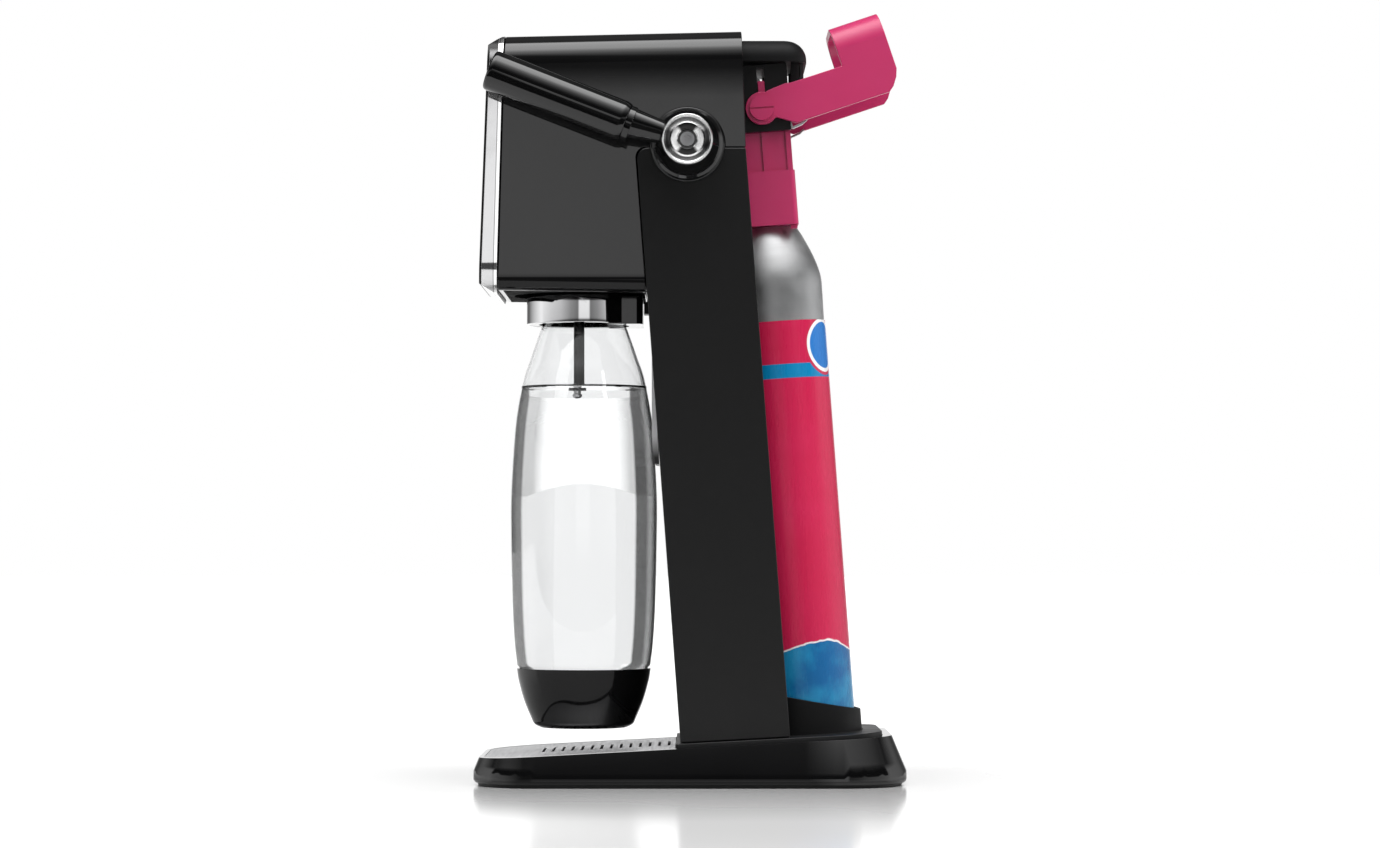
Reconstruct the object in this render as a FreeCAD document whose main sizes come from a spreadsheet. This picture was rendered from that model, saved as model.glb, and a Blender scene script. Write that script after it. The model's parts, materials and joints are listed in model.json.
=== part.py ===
import FreeCAD, Part
import math
import os

import Sketcher

# A manual soda carbonator: a sloping base with a drip tray, a hollow column that leans
# forward, a head with a pull-down lever, a bottle hanging in a tilting carriage, and a gas
# cylinder that a quick-connect handle lifts into the valve holder at the back.
# Millimetres. X is across (the lever is on the +X side), the front faces -Y, Z is up, and
# the origin is the centre of the base on the surface it stands on.

V = FreeCAD.Vector
doc = FreeCAD.newDocument("soda_carbonator")
sheet = doc.addObject("Spreadsheet::Sheet", "Dims")

# ---------------------------------------------------------------- driving dimensions

DIMENSIONS = {
    # base
    "base_half_depth": 123.25, "base_half_width": 73.0, "base_corner": 37.0,
    "base_lift": 1.0, "base_band": 7.0, "base_taper": 22.8, "deck_mid": 21.9,
    "deck_rise": 0.0535, "recess_front": 117.3, "recess_rear": 110.0,
    "recess_half": 62.0, "recess_corner": 30.0, "tray_rear": 8.0, "tray_depth": 5.0,
    "plinth_seat": 2.0, "plinth_rise": 2.4, "plate_thick": 2.0, "foot_radius": 8.0,
    "screw_head": 3.0, "screw_shank": 1.5, "screw_seat": 1.4,
    # fits shared by the whole machine
    "wall": 2.5, "fit_gap": 0.3, "shaft_play": 0.05,
    # column, cylinder and valve holder share one forward lean
    "lean_rate": 0.0743, "lean_foot": 68.1, "cover_outer": 58.0, "cover_thick": 3.0,
    "cover_front": -5.6, "cover_rear": 56.4, "cover_foot": 27.0, "cover_top": 360.6,
    "cover_corner": 6.0, "spine_front": -70.0, "spine_start": 29.6,
    "channel_wall": -36.0, "frame_outer": 54.4, "frame_thick": 2.0,
    # head
    "head_half": 57.0, "head_front_top": -105.0, "head_front_low": -108.9,
    "head_rear_top": 29.3, "head_rear_low": 31.6, "head_top_front": 426.0,
    "head_top_rear": 429.0, "head_low_front": 280.2, "head_low_rear": 278.9,
    "head_split": 361.2, "head_round": 18.0, "head_low_round": 7.0,
    "head_back_rate": 0.0339, "cap_gap": 0.3,
    "bezel_half": 58.0, "bezel_face_top": -114.6, "bezel_face_low": -119.6,
    "bezel_top": 426.0, "bezel_low": 278.4, "bezel_frame": 8.0,
    "cap_half": 35.0, "cap_rear": 67.0, "cap_low": 413.0, "cap_top": 425.8,
    # lever and its shaft
    "hub_y": -1.5, "hub_z": 362.3, "boss_radius": 21.2, "boss_face": 60.0,
    "eye_radius": 20.0, "eye_start": 60.5, "shaft_radius": 6.0, "bush_radius": 9.0,
    "grip_x": 76.0, "grip_y": -35.8, "grip_z": 372.6, "grip_tilt": 68.6,
    "grip_radius": 11.6, "grip_length": 82.6, "grip_rod": 5.0,
    "cap_start": 86.0, "cap_face": 89.0, "lever_cap_radius": 14.2,
    "cam_radius": 12.0, "cam_throw": 3.13, "cam_angle": -10.0,
    # rocker, plunger and gas socket, in the leaning frame
    "rocker_y": -20.25, "rocker_z": 400.0, "rocker_pin": 2.0,
    "plunger_radius": 3.0, "plunger_low": 385.8, "plunger_top": 402.0,
    "socket_low": 382.2, "socket_top": 397.6, "socket_radius": 12.0,
    # bottle carriage
    "bottle_y": -61.5, "collar_y": -61.0, "collar_radius": 33.9, "collar_low": 263.4,
    "collar_top": 279.5, "core_top": 281.0, "carriage_axis": 287.5,
    "tube_y": -64.4, "tube_radius": 3.1, "tube_low": 225.0, "tip_low": 219.5,
    # cylinder, carrier and handle, in the leaning frame
    "cylinder_radius": 29.7, "cylinder_low": 26.6, "label_skin": 0.3,
    "cup_radius": 33.5, "cup_bore": 31.0, "cup_low": 24.4, "cup_floor": 2.0,
    "carrier_low": 320.3, "carrier_step": 351.5, "carrier_top": 374.5,
    "carrier_half_y": 18.3, "carrier_half_x": 23.5, "neck_half_y": 17.4,
    "neck_half_x": 21.5, "holder_low": 374.2, "holder_top": 412.5,
    "cheek_inner": 23.0, "cheek_outer": 27.4, "handle_y": 1.8, "handle_z": 387.2,
    "handle_angle": 18.5, "handle_inner": 28.0, "handle_outer": 31.0,
    "handle_pin": 4.0, "arm_top": 8.5, "arm_low": -14.3, "arm_end": 80.7,
    "hood_start": 51.4, "hood_top": 32.3, "hood_round": 15.0,
}


def text_of(item):
    """The sheet expression for a size, or the plain number as text."""
    return item.text if isinstance(item, Size) else repr(float(item))


def value_of(item):
    """The number behind a size."""
    return item.value if isinstance(item, Size) else float(item)


class Size:
    """A length that carries its value and the sheet expression that it comes from."""

    def __init__(self, value, text):
        self.value = value
        self.text = text

    def __add__(self, other):
        return Size(self.value + value_of(other), f"({self.text} + {text_of(other)})")

    def __radd__(self, other):
        return Size(value_of(other) + self.value, f"({text_of(other)} + {self.text})")

    def __sub__(self, other):
        return Size(self.value - value_of(other), f"({self.text} - {text_of(other)})")

    def __rsub__(self, other):
        return Size(value_of(other) - self.value, f"({text_of(other)} - {self.text})")

    def __mul__(self, other):
        return Size(self.value * value_of(other), f"({self.text} * {text_of(other)})")

    def __rmul__(self, other):
        return Size(value_of(other) * self.value, f"({text_of(other)} * {self.text})")

    def __neg__(self):
        return Size(-self.value, f"(0 - {self.text})")


class Sheet:
    """Writes the driving dimensions to the spreadsheet and hands them out as sizes."""

    def __init__(self, table):
        for row, (alias, value) in enumerate(table.items(), start=1):
            cell = f"B{row}"
            sheet.set(f"A{row}", alias)
            sheet.set(cell, repr(value))
            sheet.setAlias(cell, alias)
            setattr(self, alias, Size(value, f"Dims.{alias}"))


d = Sheet(DIMENSIONS)
doc.recompute()

# ---------------------------------------------------------------- frames

ALONG_X = FreeCAD.Rotation(V(0, 1, 0), 90)
ALONG_Y = FreeCAD.Rotation(V(1, 0, 0), -90)
ALONG_Z = FreeCAD.Rotation()


class Frame:
    """A place in the upright machine: an origin at x = 0 and a tilt about X, in degrees."""

    def __init__(self, y, z, tilt):
        self.y = y
        self.z = z
        self.tilt = tilt

    def point(self, x, y, z):
        """The upright position of a point of this frame, as numbers."""
        turn = math.radians(self.tilt)
        y, z = value_of(y), value_of(z)
        up = value_of(self.y) + y * math.cos(turn) - z * math.sin(turn)
        high = value_of(self.z) + y * math.sin(turn) + z * math.cos(turn)
        return V(value_of(x), up, high)


DECK = Frame(0.0, d.deck_mid, math.degrees(math.atan(d.deck_rise.value)))
LEANING = Frame(d.lean_foot, 0.0, math.degrees(math.atan(d.lean_rate.value)))
pivot = LEANING.point(0, d.handle_y, d.handle_z)
HANDLE = Frame(pivot.y, pivot.z, d.handle_angle.value)
GRIP = Frame(d.grip_y, d.grip_z, d.grip_tilt.value)


def bind(obj, name, size):
    """Sets a property to a number, or ties it to the sheet."""
    if isinstance(size, Size):
        obj.setExpression(name, size.text)
    else:
        setattr(obj, name, size)


def place(obj, x, y, z, rotation=ALONG_Z):
    """Puts an object at a position whose coordinates may come from the sheet."""
    obj.Placement = FreeCAD.Placement(V(value_of(x), value_of(y), value_of(z)), rotation)
    for axis, size in (("x", x), ("y", y), ("z", z)):
        if isinstance(size, Size):
            obj.setExpression(f"Placement.Base.{axis}", size.text)
    return obj


def settle(obj, frame, x=0.0):
    """Moves an object into a tilted frame. A primitive that has a place of its own keeps it
    inside a compound, and the compound is what moves."""
    if obj.TypeId in ("Part::Box", "Part::Cylinder"):
        obj = group(f"{obj.Name}_in_frame", obj)
    return place(obj, x, frame.y, frame.z, FreeCAD.Rotation(V(1, 0, 0), frame.tilt))


# ---------------------------------------------------------------- primitives and booleans

def block(name, x0, x1, y0, y1, z0, z1):
    """A box between two corners."""
    box = doc.addObject("Part::Box", name)
    for side, low, high in (("Length", x0, x1), ("Width", y0, y1), ("Height", z0, z1)):
        bind(box, side, high - low)
    return place(box, x0, y0, z0)


def rod_x(name, radius, x0, x1, y=0.0, z=0.0):
    """A cylinder along X."""
    rod = doc.addObject("Part::Cylinder", name)
    bind(rod, "Radius", radius)
    bind(rod, "Height", x1 - x0)
    return place(rod, x0, y, z, ALONG_X)


def rod_y(name, radius, y0, y1, x=0.0, z=0.0):
    """A cylinder along Y."""
    rod = doc.addObject("Part::Cylinder", name)
    bind(rod, "Radius", radius)
    bind(rod, "Height", y1 - y0)
    return place(rod, x, y0, z, ALONG_Y)


def rod_z(name, radius, z0, z1, x=0.0, y=0.0):
    """A cylinder along Z."""
    rod = doc.addObject("Part::Cylinder", name)
    bind(rod, "Radius", radius)
    bind(rod, "Height", z1 - z0)
    return place(rod, x, y, z0)


def fuse(name, *items):
    """The union of several objects."""
    joined = doc.addObject("Part::MultiFuse", name)
    joined.Shapes = list(items)
    joined.Refine = True
    return joined


def cut(name, base, *tools):
    """An object less one or more others."""
    result = doc.addObject("Part::Cut", name)
    result.Base = base
    result.Tool = tools[0] if len(tools) == 1 else fuse(f"{name}_tools", *tools)
    result.Refine = True
    return result


def common(name, first, second):
    """What two objects share."""
    result = doc.addObject("Part::Common", name)
    result.Base = first
    result.Tool = second
    return result


def group(name, *items):
    """Several separate solids kept as one sub-part."""
    compound = doc.addObject("Part::Compound", name)
    compound.Links = list(items)
    return compound


# ---------------------------------------------------------------- sketches and bodies

def origin_plane(body, role):
    return [item for item in body.Origin.OriginFeatures if item.Role == role][0]


def new_sketch(body, name, role, lift=0.0):
    """A sketch on one of the body's own origin planes, raised along its normal."""
    sketch = body.newObject("Sketcher::SketchObject", name)
    sketch.AttachmentSupport = (origin_plane(body, role), [""])
    sketch.MapMode = "FlatFace"
    sketch.AttachmentOffset = FreeCAD.Placement(V(0, 0, value_of(lift)), ALONG_Z)
    if isinstance(lift, Size):
        sketch.setExpression("AttachmentOffset.Base.z", lift.text)
    return sketch


def fix_point(sketch, label, edge, end, point):
    """Holds one end of a sketch line at coordinates that may come from the sheet."""
    for kind, size in zip(("DistanceX", "DistanceY"), point):
        rule = Sketcher.Constraint(kind, -1, 1, edge, end, value_of(size))
        index = sketch.addConstraint(rule)
        if isinstance(size, Size):
            word = f"{label}_{kind[-1].lower()}"
            sketch.renameConstraint(index, word)
            sketch.setExpression(f"Constraints.{word}", size.text)


def polygon(sketch, corners):
    """A closed outline of straight lines through the corners."""
    flat = [V(value_of(u), value_of(v), 0) for u, v in corners]
    lines = []
    for start, end in zip(flat, flat[1:] + flat[:1]):
        lines.append(sketch.addGeometry(Part.LineSegment(start, end), False))
    for line, following in zip(lines, lines[1:] + lines[:1]):
        sketch.addConstraint(Sketcher.Constraint("Coincident", line, 2, following, 1))
    for count, (line, corner) in enumerate(zip(lines, corners)):
        fix_point(sketch, f"corner{count}", line, 1, corner)
    return sketch


def rounded_rectangle(sketch, x0, x1, y0, y1, radius):
    """A rectangle whose corners are arcs of one radius."""
    runs = [((x0 + radius, y0), (x1 - radius, y0)), ((x1, y0 + radius), (x1, y1 - radius)),
            ((x1 - radius, y1), (x0 + radius, y1)), ((x0, y1 - radius), (x0, y0 + radius))]
    centres = [(x1 - radius, y0 + radius), (x1 - radius, y1 - radius),
               (x0 + radius, y1 - radius), (x0 + radius, y0 + radius)]
    lines = []
    for start, end in runs:
        ends = [V(value_of(u), value_of(v), 0) for u, v in (start, end)]
        lines.append(sketch.addGeometry(Part.LineSegment(*ends), False))
    for count, (line, run) in enumerate(zip(lines, runs)):
        fix_point(sketch, f"start{count}", line, 1, run[0])
        fix_point(sketch, f"end{count}", line, 2, run[1])
    for count, (u, v) in enumerate(centres):
        circle = Part.Circle(V(value_of(u), value_of(v), 0), V(0, 0, 1), value_of(radius))
        first = (count - 1) * math.pi / 2
        arc = sketch.addGeometry(Part.ArcOfCircle(circle, first, first + math.pi / 2), False)
        following = lines[(count + 1) % 4]
        sketch.addConstraint(Sketcher.Constraint("Coincident", arc, 1, lines[count], 2))
        sketch.addConstraint(Sketcher.Constraint("Coincident", arc, 2, following, 1))
    return sketch


def pad(body, name, sketch, length, taper=None, reverse=False):
    """Extrudes a sketch, drawn in by the taper angle if there is one."""
    feature = body.newObject("PartDesign::Pad", name)
    feature.Profile = sketch
    bind(feature, "Length", length)
    feature.Reversed = reverse
    if taper is not None:
        bind(feature, "TaperAngle", -1.0 * taper)
    body.Tip = feature
    return feature


def side_prism(name, corners, x0, x1):
    """A body with its outline in the YZ plane, from x0 to x1."""
    body = doc.addObject("PartDesign::Body", name)
    sketch = polygon(new_sketch(body, f"{name}_outline", "YZ_Plane"), corners)
    pad(body, f"{name}_pad", sketch, x1 - x0)
    return place(body, x0, 0.0, 0.0)


def plan_slab(name, x0, x1, y0, y1, corner, z0, z1):
    """A body with a rounded rectangle as its plan, from z0 to z1."""
    body = doc.addObject("PartDesign::Body", name)
    sketch = new_sketch(body, f"{name}_plan", "XY_Plane", z0)
    rounded_rectangle(sketch, x0, x1, y0, y1, corner)
    pad(body, f"{name}_pad", sketch, z1 - z0)
    return body


def front_slab(name, x0, x1, z0, z1, corner, y0, y1):
    """A body with a rounded rectangle in the XZ plane, from y0 back to y1."""
    body = doc.addObject("PartDesign::Body", name)
    sketch = new_sketch(body, f"{name}_front", "XZ_Plane", -1.0 * y0)
    rounded_rectangle(sketch, x0, x1, z0, z1, corner)
    pad(body, f"{name}_pad", sketch, y1 - y0, reverse=True)
    return body


def round_edges(body, name, radius, wanted):
    """Fillets the edges of the body's last feature that pass the test."""
    doc.recompute()
    base = body.Tip
    names = [f"Edge{number}" for number, edge in enumerate(base.Shape.Edges, start=1)
             if wanted(edge)]
    feature = body.newObject("PartDesign::Fillet", name)
    feature.Base = (base, names)
    bind(feature, "Radius", radius)
    body.Tip = feature
    return body


def lathe(name, profile, rotation_axis="Z"):
    """A body turned from a closed outline of (radius, height) corners."""
    body = doc.addObject("PartDesign::Body", name)
    sketch = polygon(new_sketch(body, f"{name}_profile", "XZ_Plane"), profile)
    feature = body.newObject("PartDesign::Revolution", f"{name}_turned")
    feature.Profile = sketch
    feature.ReferenceAxis = (sketch, ["V_Axis"])
    feature.Angle = 360
    body.Tip = feature
    if rotation_axis == "X":
        body.Placement = FreeCAD.Placement(V(0, 0, 0), ALONG_X)
    return body


def smooth_lathe(name, runs):
    """A solid turned about Z from runs of (radius, height) points: a run of two points is
    a straight line and a longer one is a smooth curve."""
    edges = []
    for run in runs:
        points = [V(value_of(radius), 0, value_of(height)) for radius, height in run]
        if len(points) == 2:
            edges.append(Part.makeLine(*points))
        else:
            curve = Part.BSplineCurve()
            curve.interpolate(points)
            edges.append(curve.toShape())
    face = Part.Face(Part.Wire(edges))
    feature = doc.addObject("Part::Feature", name)
    feature.Shape = face.revolve(V(0, 0, 0), V(0, 0, 1), 360)
    return feature


# ---------------------------------------------------------------- the list of sub-parts

PARTS = []


def part(name, obj):
    """Names a finished sub-part, which is then checked and written out."""
    obj.Label = name
    PARTS.append(obj)
    return obj


def deck_line(y, above):
    """Height of the sloping deck at a depth, plus an offset."""
    return d.deck_mid + above + d.deck_rise * y


def cover_edge(z, offset=0.0):
    """Depth of the column's front edge at a height."""
    return d.cover_front + offset - (z - d.cover_foot) * d.lean_rate


# ---------------------------------------------------------------- base

def base_block(name, inset, drop, bottom):
    """The base's outer form, or its hollow when it is inset and its top is dropped."""
    half_x = d.base_half_width - inset
    half_y = d.base_half_depth - inset
    corner = d.base_corner - inset
    body = doc.addObject("PartDesign::Body", name)
    low = new_sketch(body, f"{name}_band", "XY_Plane", bottom)
    rounded_rectangle(low, -half_x, half_x, -half_y, half_y, corner)
    band_top = d.base_lift + d.base_band
    pad(body, f"{name}_band_pad", low, band_top - bottom)
    high = new_sketch(body, f"{name}_slope", "XY_Plane", band_top)
    rounded_rectangle(high, -half_x, half_x, -half_y, half_y, corner)
    pad(body, f"{name}_slope_pad", high, 24.0, taper=d.base_taper)
    reach = 150.0
    above = new_sketch(body, f"{name}_above", "YZ_Plane")
    polygon(above, [(-reach, deck_line(-reach, -drop)), (reach, deck_line(reach, -drop)),
                    (reach, 90.0), (-reach, 90.0)])
    top = body.newObject("PartDesign::Pocket", f"{name}_top")
    top.Profile = above
    top.Type = "ThroughAll"
    top.Midplane = True
    body.Tip = top
    return body


def base_shell():
    outer = base_block("base_outer", 0.0, 0.0, d.base_lift)
    round_edges(outer, "base_outer_round", 2.5,
                lambda edge: edge.BoundBox.ZMax < d.base_lift.value + 0.01)
    hollow = base_block("base_hollow", d.wall, 8.0, -5.0)
    tray = plan_slab("tray_recess", -d.recess_half, d.recess_half, -d.recess_front, 60.0,
                     d.recess_corner, -d.tray_depth, 30.0)
    tray = common("tray_recess_front", tray,
                  block("tray_side", -80.0, 80.0, -130.0, -d.tray_rear, -10.0, 30.0))
    rear = plan_slab("plinth_recess", -d.recess_half, d.recess_half, -60.0, d.recess_rear,
                     d.recess_corner, -d.plinth_seat, 30.0)
    rear = common("plinth_recess_rear", rear,
                  block("plinth_side", -80.0, 80.0, -d.tray_rear - 0.01, 130.0, -10.0, 30.0))
    part("base_shell", cut("base_shell_cut", outer, hollow, settle(tray, DECK),
                           settle(rear, DECK)))


FOOT_PLACES = [(x, y) for x in (-46.0, 46.0) for y in (-92.0, 92.0)]
SCREW_PLACES = [(x, y) for x in (-58.0, 58.0) for y in (-40.0, 40.0)]


def base_bottom_plate():
    """The plate the machine rests on, with pockets for the feet and the screw heads."""
    inset = d.wall + d.fit_gap
    half_x = d.base_half_width - inset
    half_y = d.base_half_depth - inset
    slab = plan_slab("bottom_plate", -half_x, half_x, -half_y, half_y,
                     d.base_corner - inset, 0.0, d.plate_thick)
    holes = []
    for number, (x, y) in enumerate(FOOT_PLACES):
        holes.append(rod_z(f"foot_hole_{number}", d.foot_radius + 0.1, -1.0,
                           d.plate_thick + 1.0, x, y))
    for number, (x, y) in enumerate(SCREW_PLACES):
        holes.append(rod_z(f"head_hole_{number}", d.screw_head + 0.2, -1.0, d.screw_seat,
                           x, y))
        holes.append(rod_z(f"shank_hole_{number}", d.screw_shank + 0.2, 0.0,
                           d.plate_thick + 1.0, x, y))
    part("base_bottom_plate", cut("bottom_plate_cut", slab, *holes))


def rubber_feet():
    feet = []
    for number, (x, y) in enumerate(FOOT_PLACES):
        pad_body = rod_z(f"foot_pad_{number}", d.foot_radius, 0.0, d.plate_thick, x, y)
        flange = rod_z(f"foot_flange_{number}", d.foot_radius + 1.8, d.plate_thick,
                       d.plate_thick + 1.0, x, y)
        feet.append(fuse(f"foot_{number}", pad_body, flange))
    part("rubber_feet", group("feet", *feet))


def base_screws():
    screws = []
    for number, (x, y) in enumerate(SCREW_PLACES):
        head = rod_z(f"base_screw_head_{number}", d.screw_head, d.screw_seat - 1.0,
                     d.screw_seat, x, y)
        shank = rod_z(f"base_screw_shank_{number}", d.screw_shank, d.screw_seat - 0.1, 9.0,
                      x, y)
        screws.append(fuse(f"base_screw_{number}", head, shank))
    part("base_screws", group("base_screw_set", *screws))


def drip_tray():
    gap = d.fit_gap
    half = d.recess_half - gap
    body = plan_slab("tray_sheet", -half, half, gap - d.recess_front, 60.0,
                     d.recess_corner - gap, gap - d.tray_depth, -0.1)
    slot = new_sketch(body, "tray_slot", "XY_Plane", -0.1)
    rounded_rectangle(slot, -22.0, 22.0, -85.2, -83.6, 0.7)
    pocket = body.newObject("PartDesign::Pocket", "tray_slot_cut")
    pocket.Profile = slot
    pocket.Type = "ThroughAll"
    body.Tip = pocket
    doc.recompute()
    row = body.newObject("PartDesign::LinearPattern", "tray_slots")
    row.Originals = [pocket]
    row.Direction = (slot, ["V_Axis"])
    row.Length = 72.4
    row.Occurrences = 14
    body.Tip = row
    keep = block("tray_keep", -80.0, 80.0, -130.0, -d.tray_rear - gap, -10.0, 30.0)
    sheet_part = common("tray_front", body, keep)
    pan = plan_slab("tray_pan", 2.0 - half, half - 2.0, 2.0 - d.recess_front + gap, 60.0,
                    d.recess_corner - 2.0 - gap, -10.0, -1.8)
    pan = common("tray_pan_front", pan,
                 block("tray_pan_keep", -80.0, 80.0, -130.0, -d.tray_rear - 2.3, -10.0, 30.0))
    part("drip_tray", settle(cut("drip_tray_cut", sheet_part, pan), DECK))


def column_plinth():
    gap = d.fit_gap
    half = d.recess_half - gap
    slab = plan_slab("plinth_slab", -half, half, -60.0, d.recess_rear - gap,
                     d.recess_corner - gap, 0.05 - d.plinth_seat, d.plinth_rise)
    slab = common("plinth_rear", slab,
                  block("plinth_keep", -80.0, 80.0, gap - d.tray_rear, 130.0, -10.0, 30.0))
    settle(slab, DECK)
    well = settle(rod_z("cup_well", d.cup_radius + 0.6, -10.0, 80.0), LEANING)
    part("column_plinth", cut("column_plinth_cut", slab, well))


# ---------------------------------------------------------------- column

def cover_outline(offset):
    """The side of the column; the offset grows it for the gap in its neighbours."""
    foot_front = deck_line(d.cover_front, d.plinth_rise + 0.3)
    foot_rear = deck_line(d.cover_rear, d.plinth_rise + 0.3)
    return [(cover_edge(foot_front, -offset), foot_front), (d.cover_rear, foot_rear),
            (d.head_rear_low, d.cover_top + offset),
            (cover_edge(d.cover_top + offset, -offset), d.cover_top + offset)]


def is_across(edge, y, z):
    """True for a straight edge along X that passes a point of the YZ plane."""
    middle = edge.CenterOfMass
    box = edge.BoundBox
    return (box.YLength < 0.01 and box.ZLength < 0.01
            and abs(middle.y - value_of(y)) < 0.6 and abs(middle.z - value_of(z)) < 0.6)


def column_cover(side):
    name = "column_cover_right" if side > 0 else "column_cover_left"
    inner = d.cover_outer - d.cover_thick
    low, high = (inner, d.cover_outer) if side > 0 else (-d.cover_outer, -inner)
    body = side_prism(f"{name}_body", cover_outline(0.0), low, high)
    top_edge = cover_edge(d.cover_top)
    round_edges(body, f"{name}_corner", d.cover_corner,
                lambda edge: is_across(edge, top_edge, d.cover_top))
    outer_x = d.cover_thick.value if side > 0 else 0.0
    round_edges(body, f"{name}_rim", 0.8,
                lambda edge: edge.BoundBox.XLength < 0.01
                and abs(edge.CenterOfMass.x - outer_x) < 0.01)
    if side < 0:
        return part(name, body)
    hub = rod_x("cover_hub_hole", d.boss_radius + 0.15, 50.0, 62.0, d.hub_y, d.hub_z)
    return part(name, cut(f"{name}_cut", body, hub))


def column_front_wall():
    reach = d.frame_outer
    wall = block("front_wall", -reach, reach, d.spine_front, d.spine_front + d.wall,
                 d.spine_start, 284.0)
    part("column_front_wall", settle(wall, LEANING))


def column_frame():
    reach = d.frame_outer
    back = block("channel_back", -reach, reach, d.channel_wall - 3.0, d.channel_wall,
                 d.spine_start, 340.0)
    sides = []
    inner = reach - d.frame_thick
    for side in (-1, 1):
        low, high = (inner, reach) if side > 0 else (-reach, -inner)
        sides.append(block(f"frame_side_{side}", low, high, d.spine_front + d.wall + 0.1,
                           -12.0, d.spine_start, 356.0))
        sides.append(block(f"frame_cheek_{side}", low, high, d.spine_front + d.wall + 0.1,
                           -18.5, 355.0, 378.0))
        sides.append(block(f"frame_arm_{side}", low, high, -40.0, -18.5, 377.0, 409.0))
    frame = fuse("frame_walls", back, *sides)
    hub = hub_in_lean()
    hole = rod_x("frame_hub_hole", d.bush_radius, -60.0, 60.0, hub[0], hub[1])
    part("column_frame", settle(cut("column_frame_cut", frame, hole), LEANING))


def hub_in_lean():
    """The lever shaft's centre in the leaning frame."""
    turn = math.radians(LEANING.tilt)
    y = d.hub_y.value - d.lean_foot.value
    z = d.hub_z.value
    return (y * math.cos(turn) + z * math.sin(turn), z * math.cos(turn) - y * math.sin(turn))


def bottle_backrest():
    wall_line = [(-18.95, 226.0), (-21.65, 262.0)]
    corners = [(-21.75, 262.0), (-21.9, 240.0), (-21.9, 200.0), (-21.4, 191.0),
               (-20.0, 182.4), (-17.9, 182.0), (-18.5, 195.0), (-19.2, 209.0)] + wall_line
    blade = side_prism("backrest_blade", corners, -27.0, 27.0)
    hollow = rod_z("backrest_hollow", 43.6, 150.0, 300.0, 0.0, d.bottle_y)
    part("bottle_backrest", cut("bottle_backrest_cut", blade, hollow))


def carriage_catch():
    part("carriage_catch", block("catch_block", -8.0, 8.0, -26.6, -22.7, 269.5, 276.5))


# ---------------------------------------------------------------- head

def head_block(name, corners, half, top_round, low_round, low_z):
    """A prism across the head whose long top and bottom edges are rounded."""
    body = side_prism(name, corners, -half, half)

    def runs_back(edge):
        box = edge.BoundBox
        return box.XLength < 0.01 and box.YLength > 60.0

    round_edges(body, f"{name}_top_round", top_round,
                lambda edge: runs_back(edge) and edge.CenterOfMass.z > 400.0)
    round_edges(body, f"{name}_low_round", low_round,
                lambda edge: runs_back(edge) and abs(edge.CenterOfMass.z - low_z) < 2.0)
    return body


def head_shell():
    notch_y = cover_edge(d.head_split, -0.6)
    foot_y = cover_edge(d.head_low_rear, -0.6)
    outline = [(d.head_front_low, d.head_low_front), (foot_y, d.head_low_rear),
               (notch_y, d.head_split), (d.head_rear_low, d.head_split),
               (d.head_rear_top, d.head_top_rear), (d.head_front_top, d.head_top_front)]
    outer = head_block("head_outer", outline, d.head_half, d.head_round, d.head_low_round,
                       (d.head_low_front.value + d.head_low_rear.value) / 2)
    round_edges(outer, "head_notch_round", d.cover_corner,
                lambda edge: is_across(edge, notch_y, d.head_split))
    low = d.head_low_front + d.wall - 0.4
    cavity = [(-140.0, low), (-5.0, low), (-5.0, 340.0), (d.head_rear_low - d.wall, 340.0),
              (d.head_rear_top - d.wall, d.head_top_rear - d.wall),
              (-140.0, d.head_top_front - d.wall - 0.8)]
    inner = head_block("head_cavity", cavity, d.head_half - d.wall,
                       d.head_round - d.wall, d.head_low_round - d.wall, low.value)
    hub = rod_x("head_hub_hole", d.boss_radius + 0.15, 50.0, 62.0, d.hub_y, d.hub_z)
    door = block("head_rear_door", -34.0, 34.0, 15.0, 45.0, 350.0, 412.0)
    floor = block("head_floor_hole", -50.0, 50.0, -106.0, -26.0, 270.0, 290.0)
    part("head_shell", cut("head_shell_cut", outer, inner, hub, door, floor))


def head_underside():
    half = 50.0 - 0.2
    low = d.head_low_front - 0.1
    plate = block("underside_plate", -half, half, -105.8, -26.2, low, low + d.wall)
    reach = d.collar_radius + 2.6
    mouth = fuse("underside_mouth",
                 rod_z("mouth_rear", reach, 270.0, 295.0, 0.0, d.collar_y),
                 rod_z("mouth_front", reach, 270.0, 295.0, 0.0, d.collar_y - 4.5))
    lugs = []
    for side in (-1, 1):
        low_x, high_x = (38.2, 43.2) if side > 0 else (-43.2, -38.2)
        lugs.append(block(f"carriage_lug_{side}", low_x, high_x, d.collar_y - 5.0,
                          d.collar_y + 5.0, low + d.wall - 0.01, d.carriage_axis + 5.0))
    pins = rod_x("underside_pin_bore", 2.5, -50.0, 50.0, d.collar_y, d.carriage_axis)
    part("head_underside", cut("underside_cut",
                               fuse("underside_body", cut("underside_open", plate, mouth),
                                    *lugs), pins))


def bezel_outline(back, forward, shrink):
    """The side view of the front frame: a face with a chamfer above and one below."""
    return [(d.head_front_low - back, d.bezel_low + shrink),
            (d.head_front_low - back - 1.0, d.bezel_low + shrink),
            (d.bezel_face_low + forward, d.bezel_low + 5.6 + shrink),
            (d.bezel_face_top + forward, d.bezel_top - 6.4 - shrink),
            (d.head_front_top - back - 0.9, d.bezel_top - shrink),
            (d.head_front_top - back, d.bezel_top - shrink)]


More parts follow.
